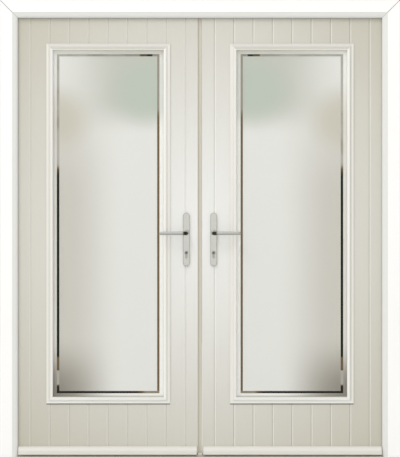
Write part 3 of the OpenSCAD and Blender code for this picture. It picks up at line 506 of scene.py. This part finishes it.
roll = fade(tree, across_bar, bar_w - roll_w - roll_soft, bar_w - roll_w + roll_soft)
outer_side = fade(tree, from_middle, cassette_mid - side_soft, cassette_mid + side_soft)
cove = times(tree, window(tree, across_bar, cove_at, cove_half, cove_soft), outer_side)
# Painted light on the rolls of the stiles, painted shade in the cove of the outer stile.
stile = mix(tree, times(tree, roll, roll_light_share), cassette_tone, (0.88, 0.88, 0.86, 1))
stile = mix(tree, times(tree, cove, cove_shade_share), stile, (0.60, 0.59, 0.53, 1))

# The head bar is greyed with painted shade, its sight edge is lightened with painted light, and a tan
# line of painted shade runs where its roll turns down.
sight_edge = window(tree, across_bar, bar_w - sight_edge_in, sight_edge_half, line_soft)
tan_line = window(tree, across_bar, tan_at, tan_half, line_soft)
head_bar = mix(tree, sight_edge, (0.69, 0.68, 0.64, 1), (0.86, 0.85, 0.80, 1))
head_bar = mix(tree, times(tree, tan_line, tan_share), head_bar, (0.46, 0.42, 0.33, 1))

# The foot bar is painted lighter on its flat than on its roll: painted light and shade.
foot_bar = mix(tree, roll, (0.82, 0.82, 0.785, 1), (0.74, 0.74, 0.71, 1))
wire(tree, moulded, "Colour", mix(tree, on_foot, mix(tree, on_head, stile, head_bar), foot_bar))
print("cassette bar in mm:", round(bar_w / MM), "roll beside the glass:", round(roll_w / MM))

# %% [markdown]
# ## Leaf skins: cream and grained
# The skins are glass-fibre mouldings, sprayed cream, with the grain of the boards pressed in. The
# grain only shows in the bump and, very weakly, in the tone where paint lies thinner over the pores.
# Around the handles the cream is painted lighter, a wide pool of painted light, and it is darker
# towards the edges of the leaves: a round gradient, stretched to an oval, mixes the two creams.

# %% Mix the cream of the leaves
light_pool_z = 1.03
light_pool_half_w = 1.33
light_pool_half_h = 1.54
pore_share = 0.05

tree, shader = new_finish("slab_cream")
figure = use_effect(tree, grain, {"Streaks": 150.0, "Length": 0.035, "Arches": 7.0})
coords = add(tree, "TexCoord")
from_light_pool = add(tree, "VectorMath", {0: (coords, "Object"), 1: (0.0, 0.0, light_pool_z)},
                operation="SUBTRACT")
in_light_pool = add(tree, "VectorMath", {
    0: (from_light_pool, "Vector"), 1: (1 / light_pool_half_w, 0.0, 1 / light_pool_half_h)}, operation="MULTIPLY")
light_pool = add(tree, "TexGradient", {"Vector": (in_light_pool, "Vector")}, gradient_type="SPHERICAL")
# Painted light: the cream is whitest in the middle of the oval and darkest towards the edges of the
# leaves.
cream = mix(tree, (light_pool, "Fac"), (0.487, 0.464, 0.372, 1), (0.83, 0.835, 0.822, 1))
# Here the grey of corners is strong, so it paints the shade beside the frame, under the head and around
# the mouldings, as well as grime.
worn = use_effect(tree, weathered, {
    "Colour": cream, "Tone spread": 0.05, "Patch scale": 1.6, "Roughness": 0.40,
    "Rough spread": 0.10, "Fine scale": 80.0, "Dust": 0.3, "Dust reach": 10 * MM,
    "Dust colour": (0.30, 0.28, 0.24, 1)})
thin_paint = times(tree, (figure, "Pores"), pore_share)
paint = mix(tree, thin_paint, (worn, "Colour"), (0.42, 0.39, 0.31, 1))
relief = add(tree, "Bump", {"Height": (figure, "Height"), "Strength": 0.45, "Distance": 0.3 * MM})
wire(tree, shader, "Roughness", (worn, "Roughness"))
wire(tree, shader, "Normal", (relief, "Normal"))
print("wiped most at z in mm:", round(light_pool_z / MM))

# %% [markdown]
# ## Leaf skins: painted light and shade
# The flank of each groove that faces the middle of the doors is painted pale, as if lit, and the flank
# that faces away is painted darker, as if shaded. The normal tells them apart: it leans towards the
# middle of the doors or away from it. A thin line of painted shadow lies under the glazing cassette,
# and the top of the leaf close under the head is darkened with painted shade.

# %% Paint light and shade on the cream of the leaves
flank_from, flank_full = 0.15, 0.45
lit_flank_share, shaded_flank_share = 0.38, 0.15
shadow_line_w = 5.5 * MM
shadow_line_soft = 1 * MM
shadow_line_end_soft = 2 * MM
shadow_line_share = 0.85
frame_head_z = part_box("frame_head")[0].z
head_shade_below, head_shade_above = 25 * MM, 2 * MM
head_shade_share = 0.2

place = add(tree, "SeparateXYZ", {"Vector": (coords, "Object")})
facing = add(tree, "SeparateXYZ", {"Vector": (coords, "Normal")})
outward = times(tree, (facing, "X"), maths(tree, "SIGN", (place, "X")))
# Painted light on the flank that faces the middle, painted shade on the flank that faces away.
lit_flank = ramp(tree, outward, -flank_from, -flank_full, lit_flank_share)
shaded_flank = ramp(tree, outward, flank_from, flank_full, shaded_flank_share)
paint = mix(tree, lit_flank, paint, (0.95, 0.945, 0.92, 1))
paint = mix(tree, shaded_flank, paint, (0.22, 0.20, 0.16, 1))

from_middle, _, height = place_in_doors(tree)
# Painted shadow: a thin dark line just under the foot of the glazing cassette.
below = window(tree, from_middle, cassette_mid, cassette_half, shadow_line_end_soft)
shadow_line = window(tree, height, cassette_low.z - shadow_line_w / 2, shadow_line_w / 2, shadow_line_soft)
paint = mix(tree, times(tree, below, shadow_line, shadow_line_share), paint, (0.15, 0.14, 0.115, 1))
# Painted shade close under the head of the frame.
head_shade = fade(tree, height, frame_head_z - head_shade_below, frame_head_z + head_shade_above, head_shade_share)
paint = mix(tree, head_shade, paint, (0.30, 0.28, 0.24, 1))
wire(tree, shader, "Base Color", paint)
print("painted shadow line under the cassette in mm:", round(shadow_line_w / MM, 1))

# %% [markdown]
# ## Timber and foam inside the leaves
# The edges of the timber subframe show when a leaf stands open, and its core of rigid foam shows
# nowhere, but both are finished, because the model can be taken apart. The timber uses the same grain
# group, this time in its colour, and the foam is a fine mesh of cells from a Voronoi pattern.

# %% Mix timber and foam
tree, shader = new_finish("timber")
figure = use_effect(tree, grain, {"Streaks": 90.0, "Length": 0.04, "Arches": 22.0})
wood = tones(tree, (figure, "Height"), [(0.1, (0.36, 0.20, 0.09, 1)), (0.85, (0.66, 0.46, 0.26, 1))])
relief = add(tree, "Bump", {"Height": (figure, "Height"), "Strength": 0.4, "Distance": 0.4 * MM})
wire(tree, shader, "Base Color", wood)
wire(tree, shader, "Normal", (relief, "Normal"))
wire(tree, shader, "Roughness", 0.62)

tree, shader = new_finish("foam")
coords = add(tree, "TexCoord")
cells = add(tree, "TexVoronoi", {"Vector": (coords, "Object"), "Scale": 900.0})
foam = tones(tree, (cells, "Distance"), [(0.0, (0.72, 0.62, 0.38, 1)), (1.0, (0.86, 0.79, 0.58, 1))])
relief = add(tree, "Bump", {"Height": (cells, "Distance"), "Strength": 0.6, "Distance": 0.5 * MM})
wire(tree, shader, "Base Color", foam)
wire(tree, shader, "Normal", (relief, "Normal"))
wire(tree, shader, "Roughness", 0.9)
print("mixed:", "timber", "foam")

# %% [markdown]
# ## Metals: handles, cylinder, hinges, lock and screws
# All of them are metal with a different base colour and a different brushing. The backplates are bright
# chrome with hardly a line on them, the key plugs are given a darker colour than the cylinders that
# hold them, and zinc plate is patchy. The brushing drives the roughness and a very shallow bump.

# %% Mix the metals
# The share for corners and ledges greys them with grime and with painted shade.
def metal(name, colour, roughness, stretch, spread, line_depth, patch=0.06, dust=0.3):
    """A brushed metal: its tree, its shader and its weathered surface"""
    tree, shader = new_finish(name)
    lines = use_effect(tree, brushed, {
        "Stretch": stretch, "Roughness": roughness, "Spread": spread})
    worn = use_effect(tree, weathered, {
        "Colour": colour, "Tone spread": patch, "Patch scale": 35.0, "Roughness": roughness,
        "Rough spread": 0.1, "Fine scale": 300.0, "Dust": dust, "Dust reach": 6 * MM,
        "Dust colour": (0.16, 0.15, 0.14, 1)})
    bump = add(tree, "Bump", {"Height": (lines, "Lines"), "Strength": 0.25, "Distance": line_depth})
    wire(tree, shader, "Base Color", (worn, "Colour"))
    wire(tree, shader, "Roughness", (lines, "Roughness"))
    wire(tree, shader, "Normal", (bump, "Normal"))
    wire(tree, shader, "Metallic", 1.0)
    return tree, shader, worn


polish_depth = 0.008 * MM
brush_depth = 0.02 * MM
turned = (300.0, 900.0, 300.0)
metal("handle_chrome", (0.57, 0.575, 0.545, 1), roughness=0.16, stretch=(500.0, 500.0, 60.0),
      spread=0.06, line_depth=polish_depth)
metal("cylinder_nickel", (0.42, 0.40, 0.37, 1), roughness=0.3, stretch=turned,
      spread=0.15, line_depth=brush_depth)
metal("plug_nickel", (0.22, 0.205, 0.18, 1), roughness=0.3, stretch=turned,
      spread=0.15, line_depth=brush_depth)
metal("hinge_silver", (0.62, 0.62, 0.61, 1), roughness=0.34, stretch=(900.0, 900.0, 60.0),
      spread=0.15, line_depth=brush_depth)
metal("lock_steel", (0.55, 0.56, 0.57, 1), roughness=0.30, stretch=(900.0, 900.0, 40.0),
      spread=0.2, line_depth=brush_depth, patch=0.2)
metal("screw_zinc", (0.60, 0.59, 0.55, 1), roughness=0.30, stretch=(700.0, 700.0, 700.0),
      spread=0.2, line_depth=brush_depth, patch=0.25)
print("finishes so far:", len(finishes))

# %% [markdown]
# ## Threshold, darker along its foot
# The threshold is a drawn aluminium section, with lines along its length. Its colour is darker towards
# the foot, by a mask on height: full near the ground, gone a few millimetres above it.

# %% Mix the aluminium of the threshold
dark_foot_top, dark_foot_full = 8 * MM, 4 * MM
dark_foot_share = 0.8

tree, shader, drawn = metal(
    "threshold_grey", (0.84, 0.80, 0.73, 1), roughness=0.42, stretch=(12.0, 1200.0, 1200.0),
    spread=0.25, line_depth=0.04 * MM, dust=0.05)
_, _, height = place_in_doors(tree)
# Darker towards the foot of the threshold.
dark_foot = ramp(tree, height, dark_foot_top, dark_foot_full, dark_foot_share)
wire(tree, shader, "Base Color", mix(tree, dark_foot, (drawn, "Colour"), (0.20, 0.185, 0.16, 1)))
print("splash in mm:", round(dark_foot_top / MM))

# %% [markdown]
# ## Levers with a dark bend
# The bend of each outer lever is one of the darkest spots: a dark reflection is painted there in
# brown-black, broken by flecks of the chrome colour. The inner levers stay bright. The mask is a box
# about the bend, across, up and in depth, and a noise breaks it up.

# %% Mix the chrome of the levers
spindle_low, spindle_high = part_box("right_spindle")
bend_x = (spindle_low.x + spindle_high.x) / 2
bend_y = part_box("right_outer_lever")[0].y
bend_drop = 4 * MM
bend_z = (spindle_low.z + spindle_high.z) / 2 - bend_drop
dark_x_full, dark_x_end = 10 * MM, 20 * MM
dark_y_full, dark_y_end = 18 * MM, 30 * MM
dark_z_half, dark_z_soft = 8.5 * MM, 3 * MM
fleck_chrome, fleck_dark = 0.70, 0.56
fleck_black, fleck_brown = 0.40, 0.62
least_dark_share = 0.75

tree, shader, plating = metal(
    "lever_chrome", (0.47, 0.47, 0.455, 1), roughness=0.48, stretch=(60.0, 500.0, 500.0),
    spread=0.08, line_depth=polish_depth)
from_middle, depth, height = place_in_doors(tree)
# Painted dark reflection at the bend of the outer levers, broken into brown-black flecks.
painted_reflection_at_bend = times(
    tree,
    fade(tree, from_middle, bend_x + dark_x_end, bend_x + dark_x_full),
    window(tree, height, bend_z, dark_z_half, dark_z_soft),
    fade(tree, depth, bend_y + dark_y_end, bend_y + dark_y_full))
coords = add(tree, "TexCoord")
flecks = add(tree, "TexNoise", {"Vector": (coords, "Object"), "Scale": 320.0, "Detail": 2.0})
reflected_dark_share = ramp(tree, (flecks, "Fac"), fleck_chrome, fleck_dark, 1.0, least_dark_share)
brown = ramp(tree, (flecks, "Fac"), fleck_black, fleck_brown)
reflected_dark = mix(tree, brown, (0.012, 0.010, 0.008, 1), (0.085, 0.055, 0.03, 1))
wire(tree, shader, "Base Color", mix(tree, times(tree, painted_reflection_at_bend, reflected_dark_share), (plating, "Colour"), reflected_dark))
print("dark bend about x in mm:", round(bend_x / MM, 1))

# %% [markdown]
# ## Clear glass
# The inner pane is plain float glass with its faint green. A thin film of smears takes a little of its
# gloss here and there, and its transmission stays one plain number.

# %% Mix the clear glass
most_smeared = 0.06

tree, shader = new_finish("clear_glass")
coords = add(tree, "TexCoord")
smears = add(tree, "TexNoise", {"Vector": (coords, "Object"), "Scale": 7.0, "Detail": 6.0})
wire(tree, shader, "Roughness", ramp(tree, (smears, "Fac"), 0.0, 1.0, most_smeared))
wire(tree, shader, "Base Color", (0.93, 0.97, 0.94, 1))
wire(tree, shader, "Transmission Weight", 1.0)
wire(tree, shader, "IOR", 1.52)
print("mixed:", "clear_glass")

# %% [markdown]
# ## Satin glass: soft shapes
# The outer pane is satin glass: it scatters the light so strongly that only soft shapes of light and
# shade come through it. They are painted as wide fades in its colour: a dim band along the outer edge
# with a tan spot in it, a grey one at the head that turns green near the meeting line, and a dark one
# low at the outer corner. Their places are metres from the middle of the doors and metres up, so that
# the leaves mirror each other.

# %% Mix the soft shapes of the satin glass
tree, shader = new_finish("satin_glass")
from_middle, _, height = place_in_doors(tree)


def soft_patch(across, up):
    """A mask on the glass from a fade across and a fade up, each from its zero to its full place"""
    return times(tree, fade(tree, from_middle, *across), fade(tree, height, *up))


def soft_oval(middle, radii):
    """A mask on the glass that fades out from an oval's middle to its rim"""
    parts = [
        maths(tree, "POWER", maths(tree, "DIVIDE", maths(tree, "SUBTRACT", value, at), radius), 2.0)
        for value, at, radius in zip((from_middle, height), middle, radii)]
    rim, core = 1.0, 0.25
    return fade(tree, maths(tree, "SQRT", maths(tree, "ADD", *parts)), rim, core)


painted_soft_shapes = {
    "dim outer edge": (soft_patch((0.34, 0.60), (1.82, 1.16)), (0.672, 0.656, 0.60, 1)),
    "grey head": (soft_patch((0.66, 0.35), (1.44, 1.62)), (0.63, 0.64, 0.58, 1)),
    "green near the meeting line": (soft_oval((0.24, 1.655), (0.22, 0.20)), (0.565, 0.632, 0.55, 1)),
    "tan spot": (soft_oval((0.65, 1.52), (0.20, 0.19)), (0.665, 0.64, 0.55, 1)),
    "dark outer corner": (soft_patch((0.36, 0.66), (0.56, 0.30)), (0.31, 0.285, 0.24, 1)),
}
pane_with_painted_light = (0.86, 0.865, 0.835, 1)
# Each soft shape of painted light and shade mixes its colour into the pane.
for mask, colour in painted_soft_shapes.values():
    pane_with_painted_light = mix(tree, mask, pane_with_painted_light, colour)
print("soft shapes:", list(painted_soft_shapes))

# %% [markdown]
# ## Satin glass: margin and etched face
# Outside the clear border the glass is painted paler with painted light, most of all near the meeting
# line and not in the dark corner, and a line of dirt lies along its foot. The etched face is a very
# fine noise in the roughness and in a bump. Transmission stays one plain number here too.

# %% Mix the margin of the satin glass and etch it
sight_in = 11.5 * MM
border_in = 18 * MM
margin_soft = 1 * MM
meeting_x = (0.5, 0.3)
light_z_near_meeting, light_shares_near_meeting = (1.56, 1.46), (1.0, 0.55)
light_z_outwards, light_shares_outwards = (1.45, 1.70), (0.6, 0.4)
pane_low, pane_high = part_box("right_outer_pane")
pane_mid, pane_half = (pane_low + pane_high) / 2, (pane_high - pane_low) / 2
corner_x, corner_z = (0.36, 0.58), (0.52, 0.36)
sight_foot = pane_low.z + sight_in
foot_line_end, foot_line_full, foot_line_share = 6 * MM, 3 * MM, 0.5
etched_most, etched_least = 0.7, 0.5

inside = times(
    tree,
    window(tree, from_middle, pane_mid.x, pane_half.x - sight_in - border_in, margin_soft),
    window(tree, height, pane_mid.z, pane_half.z - sight_in - border_in, margin_soft))
# Painted light on the margin outside the clear border.
painted_light_share = blend(
    tree, fade(tree, from_middle, *meeting_x),
    fade(tree, height, *light_z_outwards, *light_shares_outwards),
    fade(tree, height, *light_z_near_meeting, *light_shares_near_meeting))
dark_corner = soft_patch(corner_x, corner_z)
pale = times(tree, rest_of(tree, inside), painted_light_share, rest_of(tree, dark_corner))
pane_with_painted_light = mix(tree, pale, pane_with_painted_light, (1.0, 0.995, 0.955, 1))
foot_line = fade(
    tree, height, sight_foot + foot_line_end, sight_foot + foot_line_full, foot_line_share)
pane_with_painted_light = mix(tree, foot_line, pane_with_painted_light, (0.34, 0.32, 0.26, 1))

coords = add(tree, "TexCoord")
frost = add(tree, "TexNoise", {"Vector": (coords, "Object"), "Scale": 2600.0, "Detail": 2.0})
etch = add(tree, "Bump", {"Height": (frost, "Fac"), "Strength": 0.12, "Distance": 0.05 * MM})
wire(tree, shader, "Base Color", pane_with_painted_light)
wire(tree, shader, "Roughness", ramp(tree, (frost, "Fac"), 0.0, 1.0, etched_most, etched_least))
wire(tree, shader, "Normal", (etch, "Normal"))
wire(tree, shader, "Transmission Weight", 0.22)
wire(tree, shader, "IOR", 1.45)
print("finishes:", len(finishes))

# %% [markdown]
# ## Finishes onto the solids
# Each solid came in with a plain material named after its slot in the record. The slot keeps its place
# and only its material is exchanged, so the link between solid and record stays whole. The levers and
# the key plugs share a slot with the backplates and the cylinders but get the finish mixed for them.

# %% Exchange the plain materials
own_finish = {"_lever": "lever_chrome", "_cylinder_plug": "plug_nickel"}
for name, node in nodes.items():
    own = next((finish for ending, finish in own_finish.items() if name.endswith(ending)), None)
    for slot in node.material_slots:
        slot.material = finishes[own or slot.material.name.split(".")[0]]
print("dressed solids:", len(nodes))

# %% [markdown]
# ## Soft edges
# A sharp solid catches no light on its edges, while a moulded or drawn piece always has a small
# radius. The solids' own meshes stay as they are: modifiers round the edges on top of them. A Weld
# closes the skin and a Bevel rounds it. A bevel folds on the sliver triangles beside a bore or a
# mitre, so on pieces that have those a planar Decimate joins the triangles of each flat face first.
# Each group of pieces gets the radius that its making would give. The hollow profiles of the frame and
# of the meeting strip are left out, because a bevel folds at their slots even so.

# %% Round the edges with modifiers
soft_radius_mm = {
    "threshold": 0.5, "cassette": 0.4, "rain_deflector": 0.8, "backplate": 0.4, "subframe": 0.8,
    "lock_body": 0.4, "lock_keeps": 0.3, "latch": 0.4, "deadbolt": 0.5, "hook": 0.4,
}
with_slivers = (
    "threshold", "cassette", "rain_deflector", "inner_backplate", "lock_body", "hook")
weld_reach = 0.01 * MM
flat_angle = math.radians(0.3)
edge_angle = math.radians(32)

for name, node in nodes.items():
    radius = next((r for ending, r in soft_radius_mm.items() if name.endswith(ending)), None)
    if radius:
        skin = node.modifiers.new("closed_skin", "WELD")
        skin.merge_threshold = weld_reach
        if name.endswith(with_slivers):
            flat = node.modifiers.new("flat_faces", "DECIMATE")
            flat.decimate_type = "DISSOLVE"
            flat.angle_limit = flat_angle
        edge = node.modifiers.new("soft_edges", "BEVEL")
        edge.width = radius * MM
        edge.segments = 2
        edge.limit_method = "ANGLE"
        edge.angle_limit = edge_angle
        edge.harden_normals = True
print("rounded:", sum(1 for n in nodes.values() if n.modifiers))

# %% [markdown]
# ## Painted light and shade in the clear border
# A narrow band of the outer pane is left clear, a little way in from the edge of the glass. The light,
# shade and reflections that show through and in it are painted into its colour: black low down and grey
# in the upper third, and brown on the stile near the meeting line. The head has two dark dashes near
# the meeting line, the outer stile a pale spot and a brown one low down, and the foot is grey only
# close to the meeting line. All of it is one value from dark to lit, which a colour ramp turns into
# tones. Places
# are metres: (zero, full) for a fade, (middle, half, soft) for a window.

# %% Mix the tones of the clear border
lit_z, head_from_z = (1.27, 1.33), (1.79, 1.80)
head_dashes = [(0.227, 0.012, 0.95), (0.254, 0.016, 0.55)]
dash_soft = 4 * MM
drift_from, drift_full, drift_least_share = 0.3, 0.6, 0.8
outer_x = (0.50, 0.60)
pale_spot, pale_spot_share = (0.360, 0.035, 0.010), 0.95
brown_spot, brown_spot_share = (0.425, 0.028, 0.006), 0.52
foot_x, foot_z, foot_share = (0.29, 0.24), (0.32, 0.31), 0.7
inner_x, inner_from_z = (0.22, 0.20), (0.297, 0.303)
inner_z, inner_shares = (1.53, 1.58), (0.78, 0.52)

tree, shader = new_finish("clear_border")
coords = add(tree, "TexCoord")
from_middle, _, height = place_in_doors(tree)
drift = add(tree, "TexNoise", {"Vector": (coords, "Object"), "Scale": 9.0, "Detail": 3.0})
uneven = fade(tree, (drift, "Fac"), drift_from, drift_full, 1.0, drift_least_share)
lit = times(tree, fade(tree, height, *lit_z), uneven)
at_head = fade(tree, height, *head_from_z)
for middle, half, dark_share in head_dashes:
    dash = times(tree, window(tree, from_middle, middle, half, dash_soft), at_head)
    lit = times(tree, lit, fade(tree, dash, 0.0, 1.0, 1.0 - dark_share, 1.0))
spots = maths(
    tree, "MAXIMUM", fade(tree, window(tree, height, *pale_spot), 0.0, 1.0, pale_spot_share),
    fade(tree, window(tree, height, *brown_spot), 0.0, 1.0, brown_spot_share))
on_outer_stile = times(tree, fade(tree, from_middle, *outer_x), spots)
at_foot = times(tree, fade(tree, from_middle, *foot_x), fade(tree, height, *foot_z, foot_share))
lit = maths(tree, "MAXIMUM", maths(tree, "MAXIMUM", lit, on_outer_stile), at_foot)
on_inner_stile = times(tree, fade(tree, from_middle, *inner_x), fade(tree, height, *inner_from_z))
lit = blend(tree, on_inner_stile, lit, fade(tree, height, *inner_z, *inner_shares))
# Painted light and shade: the lit value turns into black, brown and grey.
wire(tree, shader, "Base Color", tones(tree, lit, [
    (0.0, (0.008, 0.010, 0.006, 1)), (0.5, (0.13, 0.085, 0.035, 1)), (1.0, (0.42, 0.41, 0.375, 1))]))
wire(tree, shader, "Roughness", 0.08)
wire(tree, shader, "Specular IOR Level", 0.25)
print("mixed:", "clear_border")

# %% [markdown]
# ## Clear border in the satin glass
# The border could be one more mask in the satin finish, but it is glossy and sharp at its edge. So it
# is made as its own thin strip on the face of the pane: a plane, stretched a little at foot and head,
# inset to leave a ring, widened at its outer side, and thickened.

# %% Model the clear borders
border_w = 10 * MM
border_t = 0.3 * MM
foot_extra = 2.7 * MM
head_extra = 0.8 * MM
side_extra = 1.5 * MM
same_edge = 0.3 * MM


def move_edge(strip, measure, way):
    """Moves the vertices that measure the most"""
    bpy.ops.object.mode_set(mode="EDIT")
    bpy.ops.mesh.select_all(action="DESELECT")
    bpy.ops.object.mode_set(mode="OBJECT")
    most = max(measure(v) for v in strip.data.vertices)
    for vertex in strip.data.vertices:
        vertex.select = measure(vertex) > most - same_edge
    bpy.ops.object.mode_set(mode="EDIT")
    bpy.ops.transform.translate(value=way)
    bpy.ops.object.mode_set(mode="OBJECT")


def clear_border(side):
    """The clear border of the left or the right leaf, as a ring on the outer face of its pane"""
    low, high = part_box(side + "_outer_pane")
    inset = sight_in + border_in
    bpy.ops.object.select_all(action="DESELECT")
    bpy.ops.mesh.primitive_plane_add(
        size=1, rotation=(math.radians(90), 0, 0),
        location=((low.x + high.x) / 2, low.y, (low.z + high.z) / 2))
    strip = bpy.context.object
    strip.name = side + "_clear_border"
    strip.scale = (high.x - low.x - 2 * inset, high.z - low.z - 2 * inset, 1)
    bpy.ops.object.transform_apply(location=True, rotation=True, scale=True)
    move_edge(strip, lambda v: -v.co.z, (0, 0, -foot_extra))
    move_edge(strip, lambda v: v.co.z, (0, 0, head_extra))
    bpy.ops.object.mode_set(mode="EDIT")
    bpy.ops.mesh.select_all(action="SELECT")
    bpy.ops.mesh.inset(thickness=border_w, depth=0)
    bpy.ops.mesh.delete(type="FACE")
    bpy.ops.object.mode_set(mode="OBJECT")
    move_edge(strip, lambda v: abs(v.co.x), (math.copysign(side_extra, low.x), 0, 0))
    thick = strip.modifiers.new("thickness", "SOLIDIFY")
    thick.thickness = border_t
    thick.offset = 0.5
    bpy.ops.object.modifier_apply(modifier=thick.name)
    strip.data.materials.append(finishes["clear_border"])
    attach(strip, side + "_leaf")
    return strip


borders = [clear_border(side) for side in ("left", "right")]
print("clear borders:", [(b.name, len(b.data.polygons)) for b in borders])

# %% [markdown]
# ## Where the screw heads are
# Every screw head has a cross that the screwdriver fits. Their places could be typed in, but measured
# ones stay right when the doors change. Each screw is a loose piece of its node, so a copy of the node
# is split into loose parts, and each part's box says where a head is: they all face the inner side.

# %% Find the screw heads
merge_reach = 0.01 * MM


def screw_heads(node_name):
    """The middle of each head's face and its radius, measured on a copy that is thrown away"""
    bpy.ops.object.select_all(action="DESELECT")
    copy = nodes[node_name].copy()
    copy.data = nodes[node_name].data.copy()
    bpy.context.collection.objects.link(copy)
    bpy.context.view_layer.objects.active = copy
    copy.select_set(True)
    bpy.ops.object.mode_set(mode="EDIT")
    bpy.ops.mesh.select_all(action="SELECT")
    bpy.ops.mesh.remove_doubles(threshold=merge_reach)
    bpy.ops.mesh.separate(type="LOOSE")
    bpy.ops.object.mode_set(mode="OBJECT")
    heads = []
    for part in list(bpy.context.selected_objects):
        corners = [Vector(c) for c in part.bound_box]
        low, high = corners[0], corners[6]  # the lowest and the highest corner of a bound_box
        heads.append(((low.x + high.x) / 2, high.y, (low.z + high.z) / 2, (high.x - low.x) / 2))
    bpy.ops.object.delete()
    return sorted(heads)


screws = {name: screw_heads(name) for name in ("left_screws", "right_screws", "frame_screws")}
print("screw heads:", {name: len(heads) for name, heads in screws.items()})

# %% [markdown]
# ## One cross
# Two arms that cross at a right angle make the recess. Cutting it into every head would cost many
# faces, so a dark inlay paints the shade of the recess instead: two bars with bevelled edges, joined to
# one piece.

# %% Model one cross
cross_r = 4 * MM
cross_share = 0.62
cross_w = 1.1 * MM
cross_t = 0.12 * MM
cross_bevel = 0.04 * MM

# Painted shade: a near-black finish for the inlay that stands for the shaded recess.
tree, shader = new_finish("painted_recess_shade")
worn = use_effect(tree, weathered, {
    "Colour": (0.030, 0.029, 0.028, 1), "Tone spread": 0.4, "Patch scale": 400.0, "Roughness": 0.55,
    "Fine scale": 900.0, "Dust": 0.2})
wire(tree, shader, "Base Color", (worn, "Colour"))
wire(tree, shader, "Roughness", (worn, "Roughness"))

arms = []
for turn in (45, 135):
    bpy.ops.object.select_all(action="DESELECT")
    bpy.ops.mesh.primitive_cube_add(size=1, rotation=(0, math.radians(turn), 0))
    arm = bpy.context.object
    arm.scale = (2 * cross_r * cross_share, 2 * cross_t, cross_w)
    bpy.ops.object.transform_apply(location=True, rotation=True, scale=True)
    bpy.ops.object.mode_set(mode="EDIT")
    bpy.ops.mesh.select_all(action="SELECT")
    bpy.ops.mesh.bevel(offset=cross_bevel, segments=1)
    bpy.ops.object.mode_set(mode="OBJECT")
    arms.append(arm)
for arm in arms:
    arm.select_set(True)
bpy.ops.object.join()
cross = bpy.context.object
cross.data.materials.append(finishes["painted_recess_shade"])
print("one cross:", len(cross.data.polygons), "faces")

# %% [markdown]
# ## A cross in every head
# The cross is copied to every head, scaled to that head's radius, and the copies of one node's screws
# are joined, because they ride the same body. The pattern itself is deleted at the end.

# %% Copy the cross to every head
def cross_recesses(name, heads, body):
    """Copies of the cross, scaled to the heads and joined to one piece that rides a body"""
    bpy.ops.object.select_all(action="DESELECT")
    for x, y, z, radius in heads:
        copy = cross.copy()
        copy.data = cross.data.copy()
        copy.location = (x, y, z)
        copy.scale = (radius / cross_r, 1, radius / cross_r)
        bpy.context.collection.objects.link(copy)
        copy.select_set(True)
    bpy.context.view_layer.objects.active = copy
    bpy.ops.object.transform_apply(location=True, rotation=True, scale=True)
    bpy.ops.object.join()
    recesses = bpy.context.object
    recesses.name = name
    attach(recesses, body)
    return recesses


crosses = [
    cross_recesses("left_screw_recesses", screws["left_screws"], "left_leaf"),
    cross_recesses("right_screw_recesses", screws["right_screws"], "right_leaf"),
    cross_recesses("frame_screw_recesses", screws["frame_screws"], "frame"),
]
bpy.ops.object.select_all(action="DESELECT")
cross.select_set(True)
bpy.ops.object.delete()
print("recesses:", [(c.name, len(c.data.polygons)) for c in crosses])

# %% [markdown]
# ## Floor finish
# The studio floor gets a pale finish with a faint tone of its own.

# %% Finish the floor
tree, shader = new_finish("studio_floor")
worn = use_effect(tree, weathered, {
    "Colour": (0.72, 0.72, 0.71, 1), "Tone spread": 0.02, "Patch scale": 0.6, "Roughness": 0.6,
    "Dust": 0.0})
wire(tree, shader, "Base Color", (worn, "Colour"))
wire(tree, shader, "Roughness", (worn, "Roughness"))
floor.data.materials.append(finishes["studio_floor"])
